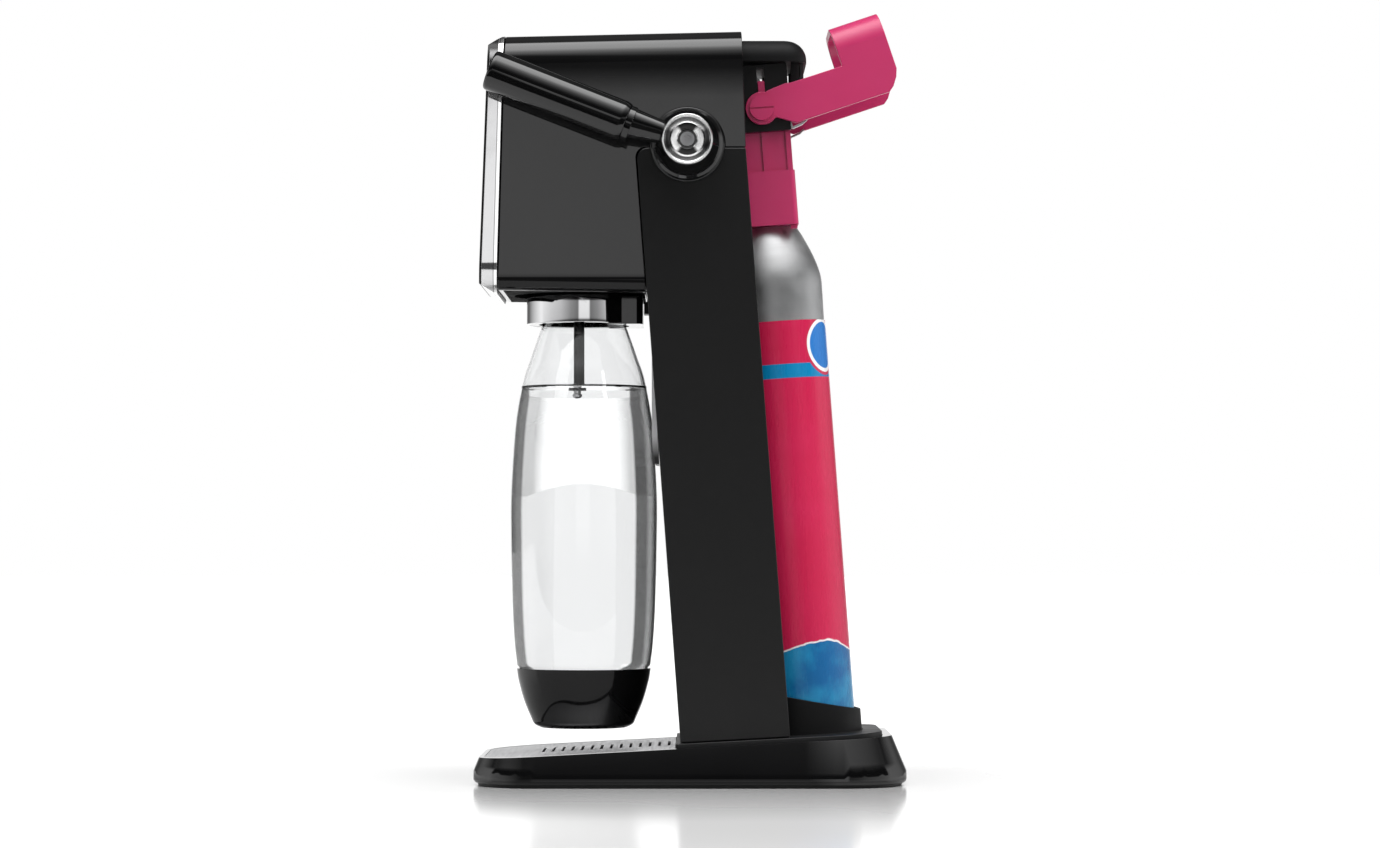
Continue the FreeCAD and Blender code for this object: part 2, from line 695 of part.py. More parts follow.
def front_bezel():
    section = front_slab("bezel_section", -d.bezel_half, d.bezel_half, d.bezel_low,
                         d.bezel_top, d.head_round, -130.0, -90.0)
    profile = side_prism("bezel_profile", bezel_outline(0.3, 0.0, 0.0), -70.0, 70.0)
    opening = front_slab("bezel_opening", d.bezel_frame - d.bezel_half,
                         d.bezel_half - d.bezel_frame, d.bezel_low + d.bezel_frame + 2.0,
                         d.bezel_top - d.bezel_frame - 1.0, 11.0, -130.0, -90.0)
    part("front_bezel", cut("front_bezel_cut", common("bezel_solid", section, profile),
                            opening))


def front_panel():
    inset = d.bezel_frame + 0.2
    section = front_slab("panel_section", inset - d.bezel_half, d.bezel_half - inset,
                         d.bezel_low + inset + 2.0, d.bezel_top - inset - 1.0, 10.8,
                         -130.0, -90.0)
    profile = side_prism("panel_profile", bezel_outline(0.3, 1.2, 0.0), -70.0, 70.0)
    relief = side_prism("panel_relief", bezel_outline(-10.0, 4.2, 0.0), -70.0, 70.0)
    part("front_panel", cut("front_panel_cut", common("panel_solid", section, profile),
                            relief))


def head_back(z):
    """Depth of the head's leaning rear face at a height."""
    return d.head_rear_low - (z - d.head_split) * d.head_back_rate


def rear_cap():
    lid = plan_slab("cap_lid", -d.cap_half, d.cap_half, 0.0, d.cap_rear, 14.0, d.cap_low,
                    d.cap_top)
    round_edges(lid, "cap_lid_round", 11.0,
                lambda edge: edge.BoundBox.ZMin > d.cap_top.value - 0.01
                and edge.CenterOfMass.y > 1.0)
    skirt = plan_slab("cap_skirt", -27.0, 27.0, 45.0, 65.5, 9.0, 401.0, d.cap_low + 0.5)
    hollow = block("cap_skirt_hollow", -24.5, 24.5, 40.0, 63.3, 395.0, d.cap_low + 0.01)
    front = side_prism("cap_front", [(-5.0, 390.0), (head_back(390.0) + d.cap_gap, 390.0),
                                     (head_back(440.0) + d.cap_gap, 440.0), (-5.0, 440.0)],
                       -60.0, 60.0)
    skirt_front = block("cap_skirt_front", -60.0, 60.0, 40.0, 57.9, 390.0, d.cap_low)
    shaped = cut("rear_cap_cut", fuse("rear_cap_body", lid, skirt), hollow, front,
                 skirt_front)
    part("rear_cap", shaped)


# ---------------------------------------------------------------- lever

def lever_boss():
    boss = rod_x("boss_disc", d.boss_radius, 55.0, d.boss_face, d.hub_y, d.hub_z)
    bore = rod_x("boss_bore", d.bush_radius, 50.0, 65.0, d.hub_y, d.hub_z)
    part("lever_boss", cut("lever_boss_cut", boss, bore))


def shaft_bushes():
    bushes = []
    for side, low, high in (("right", 50.0, d.boss_face), ("left", -54.3, -49.0)):
        sleeve = rod_x(f"bush_{side}", d.bush_radius, low, high, d.hub_y, d.hub_z)
        bore = rod_x(f"bush_bore_{side}", d.shaft_radius + d.shaft_play, -70.0, 70.0,
                     d.hub_y, d.hub_z)
        bushes.append(cut(f"bush_{side}_cut", sleeve, bore))
    part("shaft_bushes", group("bush_pair", *bushes))


def lever_shaft():
    shaft = rod_x("shaft_rod", d.shaft_radius, -54.2, 80.0, d.hub_y, d.hub_z)
    part("lever_shaft", shaft)


def lever_arm():
    start = d.eye_start
    rim = d.eye_radius
    eye = lathe("lever_eye", [(0.0, start), (rim, start), (rim, start + 4.0),
                              (rim - 1.6, start + 5.8), (rim - 2.2, start + 12.0),
                              (rim - 3.6, start + 18.0), (14.4, d.cap_start - 0.4),
                              (13.6, d.cap_start), (0.0, d.cap_start)])
    place(eye, 0.0, d.hub_y, d.hub_z, ALONG_X)
    neck = doc.addObject("Part::Cone", "lever_neck")
    neck.Radius1 = 8.8
    neck.Radius2 = 5.2
    neck.Height = 28.0
    run = FreeCAD.Rotation(V(0, 0, 1), V(0, 27.0, -8.0))
    place(neck, d.grip_x, -33.0, 372.4, run)
    collar = settle(rod_z("grip_collar", 10.2, -3.4, 0.0), GRIP, d.grip_x)
    rod = settle(rod_z("grip_inner_rod", d.grip_rod, -1.0, 69.0), GRIP, d.grip_x)
    arm = fuse("lever_arm_body", eye, neck, collar, rod)
    bore = rod_x("lever_arm_bore", d.shaft_radius, 50.0, 80.0, d.hub_y, d.hub_z)
    screw = rod_x("lever_arm_screw_bore", 4.0, 79.0, 95.0, d.hub_y, d.hub_z)
    part("lever_arm", cut("lever_arm_cut", arm, bore, screw))


def lever_grip():
    length = d.grip_length
    radius = d.grip_radius
    rod = d.grip_rod
    body = lathe("grip_body", [(rod, 0.0), (radius - 0.8, 0.0), (radius, 0.8),
                               (radius, length), (0.0, length), (0.0, 69.0), (rod, 69.0)])
    round_edges(body, "grip_end_round", 2.2,
                lambda edge: edge.BoundBox.ZMin > length.value - 0.01
                and edge.BoundBox.XLength > 2.0)
    part("lever_grip", settle(body, GRIP, d.grip_x))


def lever_cap():
    radius = d.lever_cap_radius
    face = d.cap_face
    rim = [(radius, face - 0.6), (radius - 0.6, face), (radius - 1.0, face),
           (radius - 1.5, face - 1.2)]
    boss = [(9.9, face - 1.6), (9.3, face - 0.2), (5.7, face - 0.2), (5.3, face - 0.6)]
    cap = lathe("cap_turned", [(5.3, d.cap_start), (radius, d.cap_start)] + rim + boss)
    part("lever_cap", place(cap, 0.0, d.hub_y, d.hub_z, ALONG_X))


def lever_screw():
    head = rod_x("screw_head", 4.0, 80.0, d.cap_face - 1.4, d.hub_y, d.hub_z)
    socket = doc.addObject("Part::Prism", "screw_socket")
    socket.Polygon = 6
    socket.Circumradius = 2.4
    socket.Height = 4.0
    place(socket, d.cap_face - 3.4, d.hub_y, d.hub_z, ALONG_X)
    part("lever_screw", cut("lever_screw_cut", head, socket))


def lever_cam():
    angle = math.radians(d.cam_angle.value)
    centre_y = d.hub_y + d.cam_throw * math.cos(angle)
    centre_z = d.hub_z + d.cam_throw * math.sin(angle)
    disc = rod_x("cam_disc", d.cam_radius, -5.0, 5.0, centre_y, centre_z)
    bore = rod_x("cam_bore", d.shaft_radius, -10.0, 10.0, d.hub_y, d.hub_z)
    part("lever_cam", cut("lever_cam_cut", disc, bore))


def coil(name, radius, wire, start, pitch, turns, axis_y, axis_z):
    """A spring wound about the lever shaft, as one swept wire."""
    helix = Part.makeHelix(pitch, pitch * turns, radius)
    ring = Part.makeCircle(wire, V(radius, 0, 0), V(0, 1, 0))
    sweep = Part.Wire(helix.Edges).makePipeShell([Part.Wire([ring])], True, True)
    feature = doc.addObject("Part::Feature", f"{name}_coil")
    feature.Shape = sweep
    feature.Placement = FreeCAD.Placement(V(start, value_of(axis_y), value_of(axis_z)), ALONG_X)
    return feature


def return_spring():
    part("lever_return_spring", coil("lever_spring", 7.9, 0.9, 12.0, 2.4, 7.0, d.hub_y, d.hub_z))


# ---------------------------------------------------------------- valve mechanism

def rocker():
    tip = LEANING.point(0, 0.0, 405.3)
    pin = LEANING.point(0, d.rocker_y, d.rocker_z)
    foot_y = 2.5
    foot_z = 377.1
    corners = [(foot_y - 2.6, foot_z), (foot_y + 2.6, foot_z), (pin.y - 1.0, pin.z - 4.6),
               (pin.y + 4.5, pin.z - 0.8), (tip.y, tip.z - 1.6), (tip.y, tip.z + 2.6),
               (pin.y, pin.z + 5.0), (pin.y - 4.5, pin.z + 2.0)]
    plate = side_prism("rocker_plate", corners, -4.0, 4.0)
    nose = rod_x("rocker_nose", 3.0, -4.0, 4.0, tip.y, tip.z)
    foot = rod_x("rocker_foot", 3.0, -4.0, 4.0, foot_y, foot_z)
    hub = rod_x("rocker_hub", 5.0, -4.0, 4.0, pin.y, pin.z)
    bore = rod_x("rocker_bore", d.rocker_pin + d.shaft_play, -9.0, 9.0, pin.y, pin.z)
    part("rocker", cut("rocker_cut", fuse("rocker_body", plate, nose, foot, hub), bore))
    axle = rod_x("rocker_axle", d.rocker_pin, -12.0, 12.0, pin.y, pin.z)
    part("rocker_pin", axle)


def plunger():
    rod = rod_z("plunger_rod", d.plunger_radius, d.plunger_low, d.plunger_top)
    part("plunger", settle(rod, LEANING))


def gas_socket():
    body = rod_z("socket_body", d.socket_radius, d.socket_low, d.socket_top)
    flange = block("socket_flange", -15.0, 15.0, -18.4, 0.0, d.socket_low + 2.0,
                   d.socket_top - 3.0)
    bore = rod_z("socket_bore", d.plunger_radius + 0.06, d.socket_low - 1.0,
                 d.socket_top + 1.0)
    chamber = rod_z("socket_chamber", 5.0, d.socket_low - 1.0, d.socket_low + 5.0)
    shaped = cut("gas_socket_cut", fuse("socket_solid", body, flange), bore, chamber)
    part("gas_socket", settle(shaped, LEANING))


def valve_holder():
    cheek_x = d.cheek_inner
    cheeks = []
    slots = []
    for side in (-1, 1):
        low, high = (cheek_x, d.cheek_outer) if side > 0 else (-d.cheek_outer, -cheek_x)
        cheeks.append(block(f"cheek_{side}", low, high, -18.5, 17.8, d.holder_low,
                            d.holder_top))
        slots.append(block(f"cheek_slot_{side}", low - 1.0, high + 1.0, 0.3, 4.7, 393.6,
                           411.0))
    front = block("holder_front", -52.3, 52.3, -22.0, -18.5, d.holder_low + 8.0,
                  d.holder_top - 3.5)
    top = block("holder_roof", -d.cheek_outer, d.cheek_outer, -18.6, 17.8,
                d.holder_top - 1.7, d.holder_top)
    front_tall = block("holder_front_tall", -d.cheek_outer, d.cheek_outer, -22.0, -18.5,
                       d.holder_low, d.holder_top)
    window = block("holder_window", -6.0, 6.0, -30.0, -10.0, 391.0, 410.5)
    pin = rod_x("holder_pin_bore", d.handle_pin, -40.0, 40.0, d.handle_y, d.handle_z)
    axle = rod_x("holder_axle_bore", d.rocker_pin, -12.0, 12.0, d.rocker_y, d.rocker_z)
    hose = rod_y("holder_hose_bore", 3.2, -30.0, -10.0, -10.0, 388.0)
    solid = fuse("holder_solid", front, front_tall, top, *cheeks)
    part("valve_holder", settle(cut("valve_holder_cut", solid, window, pin, axle, hose,
                                    *slots), LEANING))


def handle_pins():
    pins = []
    for side in (-1, 1):
        low, high = (23.2, d.handle_outer + 0.3) if side > 0 else (-d.handle_outer - 0.3, -23.2)
        shank = rod_x(f"handle_shank_{side}", d.handle_pin, low, high, d.handle_y, d.handle_z)
        outer = d.handle_outer + 0.3
        low, high = (outer, outer + 1.5) if side > 0 else (-outer - 1.5, -outer)
        head = rod_x(f"handle_head_{side}", 7.0, low, high, d.handle_y, d.handle_z)
        groove = block(f"handle_groove_{side}", low - 1.0 if side < 0 else low + 0.8,
                       high - 0.8 if side < 0 else high + 1.0, d.handle_y - 8.0,
                       d.handle_y + 8.0, d.handle_z - 0.5, d.handle_z + 0.5)
        pins.append(cut(f"handle_pin_{side}", fuse(f"handle_pin_body_{side}", shank, head),
                        groove))
    part("handle_pins", settle(group("handle_pin_pair", *pins), LEANING))


def catch_springs():
    strips = []
    for side in (-1, 1):
        low, high = (23.2, 27.2) if side > 0 else (-27.2, -23.2)
        corners = [(17.85, 375.0), (19.0, 374.6), (24.5, 376.6), (27.5, 379.0),
                   (26.8, 379.6), (24.0, 377.6), (19.0, 375.8), (17.85, 380.0)]
        strips.append(side_prism(f"catch_spring_{side}", corners, low, high))
    part("catch_springs", settle(group("catch_spring_pair", *strips), LEANING))


def gas_hose():
    start = LEANING.point(-10.0, -18.45, 388.0)
    straight = LEANING.point(-10.0, -44.0, 388.0)
    route = [start, straight, V(-40.7, -44.0, 374.0), V(-40.7, -61.0, 340.0),
             V(-40.7, -61.0, 292.6)]
    feature = doc.addObject("Part::Feature", "gas_hose_sweep")
    feature.Shape = tube_along(route, 2.5)
    part("gas_hose", feature)


def tube_along(route, radius):
    """A round tube along straight runs that tangent arcs join."""
    edges = []
    last = route[0]
    for before, corner, after in zip(route, route[1:], route[2:]):
        back = (before - corner).normalize()
        ahead = (after - corner).normalize()
        turn = math.pi - back.getAngle(ahead)
        run = min((before - corner).Length, (after - corner).Length) * 0.45
        bend = run / math.tan(turn / 2)
        enter = corner + back * run
        leave = corner + ahead * run
        inward = (back + ahead).normalize()
        centre = corner + inward * math.sqrt(bend ** 2 + run ** 2)
        middle = centre - inward * bend
        edges.append(Part.LineSegment(last, enter).toShape())
        edges.append(Part.Arc(enter, middle, leave).toShape())
        last = leave
    edges.append(Part.LineSegment(last, route[-1]).toShape())
    path = Part.Wire(edges)
    ring = Part.makeCircle(radius, route[0], route[1] - route[0])
    return path.makePipeShell([Part.Wire([ring])], True, False)


# ---------------------------------------------------------------- bottle carriage

def collar_ring():
    radius = d.collar_radius
    outer = rod_z("ring_outer", radius, d.collar_low, d.collar_top, 0.0, d.collar_y)
    inner = rod_z("ring_inner", radius - 1.5, 250.0, 290.0, 0.0, d.collar_y)
    behind = block("ring_behind", -40.0, 40.0, d.collar_y + 14.0, 0.0, 250.0, 290.0)
    part("collar_ring", cut("collar_ring_cut", outer, inner, behind))


def collar_core():
    radius = d.collar_radius - 1.5
    drum = rod_z("core_drum", radius, d.collar_low + 0.1, d.core_top, 0.0, d.collar_y)
    rear = plan_slab("core_rear", -24.0, 24.0, d.collar_y, d.collar_y + d.collar_radius, 4.0,
                     d.collar_low - 0.6, d.core_top - 2.0)
    rear = common("core_rear_keep", rear, block("core_rear_side", -40.0, 40.0,
                                                d.collar_y + 14.1, 0.0, 250.0, 290.0))
    throat = rod_z("core_throat", 26.2, 250.0, 290.0, 0.0, d.bottle_y)
    part("collar_core", cut("collar_core_cut", fuse("core_solid", drum, rear), throat))


def nozzle_block():
    body = rod_z("nozzle_body", 24.0, d.core_top, 322.0, 0.0, d.collar_y)
    flange = rod_z("nozzle_flange", 30.0, d.core_top, d.core_top + 2.0, 0.0, d.collar_y)
    axle = rod_x("nozzle_axle", 3.6, -37.6, 37.6, d.collar_y, d.carriage_axis)
    throat = rod_z("nozzle_throat", 19.0, 275.0, 295.0, 0.0, d.bottle_y)
    tube = rod_z("nozzle_tube_bore", d.tube_radius, 290.0, 312.0, 0.0, d.tube_y)
    pins = rod_x("nozzle_pin_bore", 2.55, -50.0, 50.0, d.collar_y, d.carriage_axis)
    solid = fuse("nozzle_solid", body, flange, axle)
    part("nozzle_block", cut("nozzle_block_cut", solid, throat, tube, pins))


def carriage_pins():
    pins = [rod_x("carriage_pin_right", 2.5, 26.0, 44.0, d.collar_y, d.carriage_axis),
            rod_x("carriage_pin_left", 2.5, -44.0, -26.0, d.collar_y, d.carriage_axis)]
    part("carriage_pins", group("carriage_pin_pair", *pins))


def bottle_seal():
    ring = rod_z("seal_outer", 17.6, 292.6, 294.9, 0.0, d.bottle_y)
    hole = rod_z("seal_hole", 9.0, 290.0, 300.0, 0.0, d.bottle_y)
    part("bottle_seal", cut("bottle_seal_cut", ring, hole))


def carbonating_tube():
    tube = rod_z("tube_stem", d.tube_radius, d.tube_low, 311.8, 0.0, d.tube_y)
    flange = rod_z("tube_flange", 3.9, d.tube_low, d.tube_low + 3.0, 0.0, d.tube_y)
    part("carbonating_tube", fuse("carbonating_tube_body", tube, flange))


def nozzle_tip():
    stem = rod_z("tip_stem", 1.6, d.tip_low + 2.15, d.tube_low, 0.0, d.tube_y)
    ball = doc.addObject("Part::Sphere", "tip_ball")
    ball.Radius = 2.15
    place(ball, 0.0, d.tube_y, d.tip_low + 2.15)
    part("nozzle_tip", fuse("nozzle_tip_body", stem, ball))


def relief_valve():
    hexagon = doc.addObject("Part::Prism", "relief_hexagon")
    hexagon.Polygon = 6
    hexagon.Circumradius = 6.5
    hexagon.Height = 6.0
    place(hexagon, 9.0, d.collar_y, 322.0)
    dome = rod_z("relief_dome", 4.6, 328.0, 336.0, 9.0, d.collar_y)
    part("relief_valve", fuse("relief_valve_body", hexagon, dome))


BOTTLE_CURVE = [(38.7, 66.4), (40.3, 80.9), (41.5, 104.1), (42.2, 139.0), (42.3, 162.0),
                (41.2, 185.0), (39.3, 208.5), (35.1, 231.7), (31.3, 243.3), (27.3, 254.9),
                (24.8, 261.6), (21.0, 269.0), (18.2, 276.0), (17.2, 281.0)]


def bottle():
    wall = 1.2
    outside = list(reversed(BOTTLE_CURVE))
    inside = [(radius - wall, height) for radius, height in BOTTLE_CURVE]
    top = 292.2
    foot = [(38.7, 66.4), (37.0, 64.9)]
    shell = smooth_lathe("bottle_turned", [
        [(17.2 - wall, top), (17.2, top)], [(17.2, top), (17.2, 281.0)], outside, foot,
        [(37.0, 64.9), (36.0, 57.9), (33.0, 46.6), (29.0, 37.6)],
        [(29.0, 37.6), (24.0, 33.2)], [(24.0, 33.2), (0.0, 33.2)], [(0.0, 33.2), (0.0, 34.6)],
        [(0.0, 34.6), (23.4, 34.6)], [(23.4, 34.6), (27.8, 38.2)],
        [(27.8, 38.2), (31.8, 46.8), (34.7, 58.0), (35.8, 65.0)],
        [(35.8, 65.0), (37.5, 66.4)], inside, [(16.0, 281.0), (16.0, top)]])
    part("bottle", place(shell, 0.0, d.bottle_y, 0.0))


def bottle_base_cap():
    cap = smooth_lathe("base_cap_turned", [
        [(38.9, 64.7), (37.8, 57.7), (34.6, 46.1), (30.4, 36.0)],
        [(30.4, 36.0), (28.6, 32.6), (25.0, 30.4)], [(25.0, 30.4), (0.0, 30.4)],
        [(0.0, 30.4), (0.0, 33.1)], [(0.0, 33.1), (24.0, 33.1)],
        [(24.0, 33.1), (29.1, 37.5)], [(29.1, 37.5), (33.1, 46.5), (36.1, 57.8), (37.1, 64.7)],
        [(37.1, 64.7), (38.9, 64.7)]])
    part("bottle_base_cap", place(cap, 0.0, d.bottle_y, 0.0))


# ---------------------------------------------------------------- gas cylinder

def gas_cylinder():
    radius = d.cylinder_radius
    low = d.cylinder_low
    wall = 3.2
    shell = smooth_lathe("cylinder_turned", [
        [(0.0, low), (22.0, low)], [(22.0, low), (27.4, low + 2.2), (radius, low + 8.0)],
        [(radius, low + 8.0), (radius, 280.0)],
        [(radius, 280.0), (29.4, 290.8), (26.3, 301.8), (20.9, 313.9), (17.5, 320.0)],
        [(17.5, 320.0), (13.5, 320.0)], [(13.5, 320.0), (13.5, 345.0)],
        [(13.5, 345.0), (8.0, 345.0)], [(8.0, 345.0), (8.0, 318.0)],
        [(8.0, 318.0), (17.5, 313.5), (23.2, 300.5), (26.2, 289.5), (26.5, 280.0)],
        [(26.5, 280.0), (26.5, low + 8.0)],
        [(26.5, low + 8.0), (24.6, low + 4.6), (21.0, low + wall)],
        [(21.0, low + wall), (0.0, low + wall)], [(0.0, low + wall), (0.0, low)]])
    part("gas_cylinder", settle(shell, LEANING))


def cylinder_label():
    radius = d.cylinder_radius
    outer = rod_z("label_outer", radius + d.label_skin, 40.0, 264.7)
    inner = rod_z("label_inner", radius, 30.0, 270.0)
    part("cylinder_label", settle(cut("cylinder_label_cut", outer, inner), LEANING))


def cylinder_valve():
    body = rod_z("valve_body", 10.8, 345.0, d.carrier_top - 0.5)
    stem = rod_z("valve_stem", 7.9, 326.0, 346.0)
    bore = rod_z("valve_pin_bore", 1.26, 330.0, 380.0)
    shaped = cut("cylinder_valve_cut", fuse("valve_solid", body, stem), bore)
    part("cylinder_valve", settle(shaped, LEANING))
    pin = rod_z("valve_pin_rod", 1.2, 340.0, 375.5)
    part("valve_pin", settle(pin, LEANING))


def cylinder_cup():
    outer = rod_z("cup_outer", d.cup_radius, d.cup_low, 70.0)
    inner = rod_z("cup_inner", d.cup_bore, d.cup_low + d.cup_floor, 80.0)
    above = side_prism("cup_above", [(-50.0, 60.5), (50.0, 34.9), (50.0, 90.0), (-50.0, 90.0)],
                       -50.0, 50.0)
    part("cylinder_cup", settle(cut("cylinder_cup_cut", outer, inner, above), LEANING))


def cylinder_carrier():
    lower = plan_slab("carrier_lower", -d.carrier_half_x, d.carrier_half_x,
                      -d.carrier_half_y, d.carrier_half_y, 3.0, d.carrier_low,
                      d.carrier_step)
    upper = plan_slab("carrier_upper", -d.neck_half_x, d.neck_half_x, -d.neck_half_y,
                      d.neck_half_y, 1.5, d.carrier_step - 0.1, d.carrier_top)
    pieces = [lower, upper]
    for side in (-1, 1):
        def across(start, stop):
            return (start, stop) if side > 0 else (-stop, -start)

        low, high = across(17.9, d.neck_half_x)
        pieces.append(block(f"carrier_upright_{side}", low, high, -6.0, 9.0,
                            d.carrier_top - 0.1, 403.2))
        low, high = across(d.neck_half_x - 0.1, 27.2)
        pieces.append(block(f"carrier_tab_{side}", low, high, 0.6, 4.4, 394.0, 403.2))
        low, high = across(d.neck_half_x - 0.1, 22.6)
        pieces.append(block(f"carrier_rib_{side}", low, high, 0.6, 4.4, d.carrier_step,
                            d.carrier_top))
        pieces.append(block(f"carrier_edge_{side}", low, high, 14.4, 17.4, d.carrier_step,
                            d.carrier_top))
        low, high = across(16.0, 20.5)
        pieces.append(block(f"carrier_nub_{side}", low, high, 13.6, 17.4, 317.9,
                            d.carrier_low + 1.0))
    neck = rod_z("carrier_neck_bore", 13.7, 300.0, 346.0)
    throat = rod_z("carrier_valve_bore", 11.2, 340.0, 380.0)
    shaped = cut("cylinder_carrier_cut", fuse("carrier_solid", *pieces), neck, throat)
    part("cylinder_carrier", settle(shaped, LEANING))


# ---------------------------------------------------------------- quick-connect handle

def quick_connect_handle():
    inner, outer = d.handle_inner, d.handle_outer
    eye = 9.4
    arms = []
    for side in (-1, 1):
        low, high = (inner, outer) if side > 0 else (-outer, -inner)
        corners = [(6.0, 8.6), (17.2, d.arm_top + 0.9), (20.5, d.arm_top + 0.2),
                   (d.hood_start, d.arm_top), (d.arm_end, d.arm_top), (d.arm_end, -2.7),
                   (79.0, -7.2), (75.8, -11.8), (72.6, d.arm_low), (16.4, d.arm_low),
                   (6.6, -7.8), (0.0, -6.0), (0.0, 6.0)]
        plate = side_prism(f"handle_plate_{side}", corners, low, high)
        hub = rod_x(f"handle_eye_{side}", eye, low, high)
        arms += [plate, hub]
    half = outer
    arch = front_slab("hood_arch", -half, half, -10.0, d.hood_top, d.hood_round,
                      d.hood_start, d.arm_end)
    tunnel = front_slab("hood_tunnel", -inner, inner, -40.0, d.hood_top - 3.0,
                        d.hood_round - 3.0, 0.0, 120.0)
    below = block("hood_below", -60.0, 60.0, 40.0, 90.0, -60.0, d.arm_top - 0.4)
    arch = cut("hood_shell", arch, tunnel, below)
    body = fuse("handle_body", arch, *arms)
    bore = rod_x("handle_bore", d.handle_pin + 0.06, -60.0, 60.0)
    part("quick_connect_handle", settle(cut("handle_cut", body, bore), HANDLE))


# ---------------------------------------------------------------- build and write

def build_all():
    base_shell()
    base_bottom_plate()
    rubber_feet()
    base_screws()
    drip_tray()
    column_plinth()
    column_cover(1)
    column_cover(-1)
    column_front_wall()
    column_frame()
    bottle_backrest()
    carriage_catch()
    head_shell()
    head_underside()
    front_bezel()
    front_panel()
    rear_cap()
    lever_boss()
    shaft_bushes()
    lever_shaft()
    lever_arm()
    lever_grip()
    lever_cap()
    lever_screw()
    lever_cam()
    return_spring()
    rocker()
    plunger()
    gas_socket()
    valve_holder()
    handle_pins()
    catch_springs()
    gas_hose()
    collar_ring()
    collar_core()
    nozzle_block()
    carriage_pins()
    bottle_seal()
    carbonating_tube()
    nozzle_tip()
    relief_valve()
    bottle()
    bottle_base_cap()
    gas_cylinder()
    cylinder_label()
    cylinder_valve()
    cylinder_cup()
    cylinder_carrier()
    quick_connect_handle()


def check_and_write():
    """Stops on a failed feature or a bad shape, then writes one file for each sub-part."""
    doc.recompute()
    for obj in doc.Objects:
        if "Invalid" in obj.State or "Error" in obj.State:
            raise RuntimeError(f"{obj.Name} failed: {obj.State}")
    for obj in PARTS:
        shape = obj.Shape
        if shape.isNull() or not shape.isValid() or not shape.Solids:
            raise RuntimeError(f"{obj.Label} has no valid solid")
    os.makedirs("parts", exist_ok=True)
    for obj in PARTS:
        obj.Shape.exportStep(f"parts/{obj.Label}.step")
        box = obj.Shape.BoundBox
        print(f"{obj.Label:24s} {len(obj.Shape.Solids)} solid(s) {obj.Shape.Volume / 1000:9.2f} cm3"
              f"  x {box.XMin:7.1f} {box.XMax:7.1f}  y {box.YMin:7.1f} {box.YMax:7.1f}"
              f"  z {box.ZMin:7.1f} {box.ZMax:7.1f}")


build_all()
check_and_write()
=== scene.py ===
import json
import math

import bmesh
import bpy
from mathutils import Matrix, Vector


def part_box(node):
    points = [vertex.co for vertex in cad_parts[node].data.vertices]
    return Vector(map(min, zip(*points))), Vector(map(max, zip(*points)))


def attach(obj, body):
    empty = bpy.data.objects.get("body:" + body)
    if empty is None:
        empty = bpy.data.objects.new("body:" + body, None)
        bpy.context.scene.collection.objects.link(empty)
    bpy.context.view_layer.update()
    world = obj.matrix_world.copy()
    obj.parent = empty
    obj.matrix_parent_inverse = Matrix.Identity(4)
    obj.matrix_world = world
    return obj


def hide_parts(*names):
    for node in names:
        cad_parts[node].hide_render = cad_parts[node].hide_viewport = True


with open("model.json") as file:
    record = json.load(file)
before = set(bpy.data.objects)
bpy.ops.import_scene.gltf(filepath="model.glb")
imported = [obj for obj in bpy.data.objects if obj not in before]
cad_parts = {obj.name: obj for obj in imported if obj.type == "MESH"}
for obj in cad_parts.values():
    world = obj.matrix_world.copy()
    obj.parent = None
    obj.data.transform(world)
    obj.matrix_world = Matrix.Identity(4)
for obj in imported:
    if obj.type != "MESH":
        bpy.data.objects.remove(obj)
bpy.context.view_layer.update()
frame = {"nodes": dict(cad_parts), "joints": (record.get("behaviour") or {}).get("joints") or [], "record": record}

# The looks of a manual soda carbonator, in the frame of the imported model: +Z up, -Y to the
# front, and the lever on the +X side. The scene is in metres. Outlines, plates and edge
# rounds are given in millimetres, and MM turns millimetres into metres.

MM = 0.001
PANEL_STRENGTH = 1.40
SOFT_BOX_STRENGTH = 6.0
FLOOR_SIZE = 14.0
FLOOR_EDGE = 0.62
NODES = frame["nodes"]
BODY_OF = {node: body for body, members in frame["record"]["behaviour"]["bodies"].items()
           for node in members}


# ---------------------------------------------------------------- places from the frame

def centre_of(node):
    """Middle of a CAD node's box, in metres."""
    low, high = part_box(node)
    return (low + high) / 2


def joint(name):
    """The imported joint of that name."""
    return [item for item in frame["joints"] if item["name"] == name][0]


LEAN_AXIS = Vector(joint("carrier_lift")["axis"]).normalized()
LEAN_FOOT = 68.1 * MM
LEAN_ANGLE = math.atan2(-LEAN_AXIS.y, LEAN_AXIS.z)
LEANING = Matrix.Translation((0, LEAN_FOOT, 0)) @ Matrix.Rotation(LEAN_ANGLE, 4, "X")
BOTTLE_AXIS = centre_of("bottle")
COLLAR_AXIS = centre_of("carriage_pins")
HUB = Vector(joint("lever_pull")["pos_m"])
ACROSS = Matrix.Rotation(math.pi / 2, 4, "Y")
GRIP_TILT = math.radians(68.6)
GRIP_FOOT = Vector((76.0, -35.8, 372.6)) * MM
GRIP = Matrix.Translation(GRIP_FOOT) @ Matrix.Rotation(GRIP_TILT, 4, "X")


# ---------------------------------------------------------------- material building

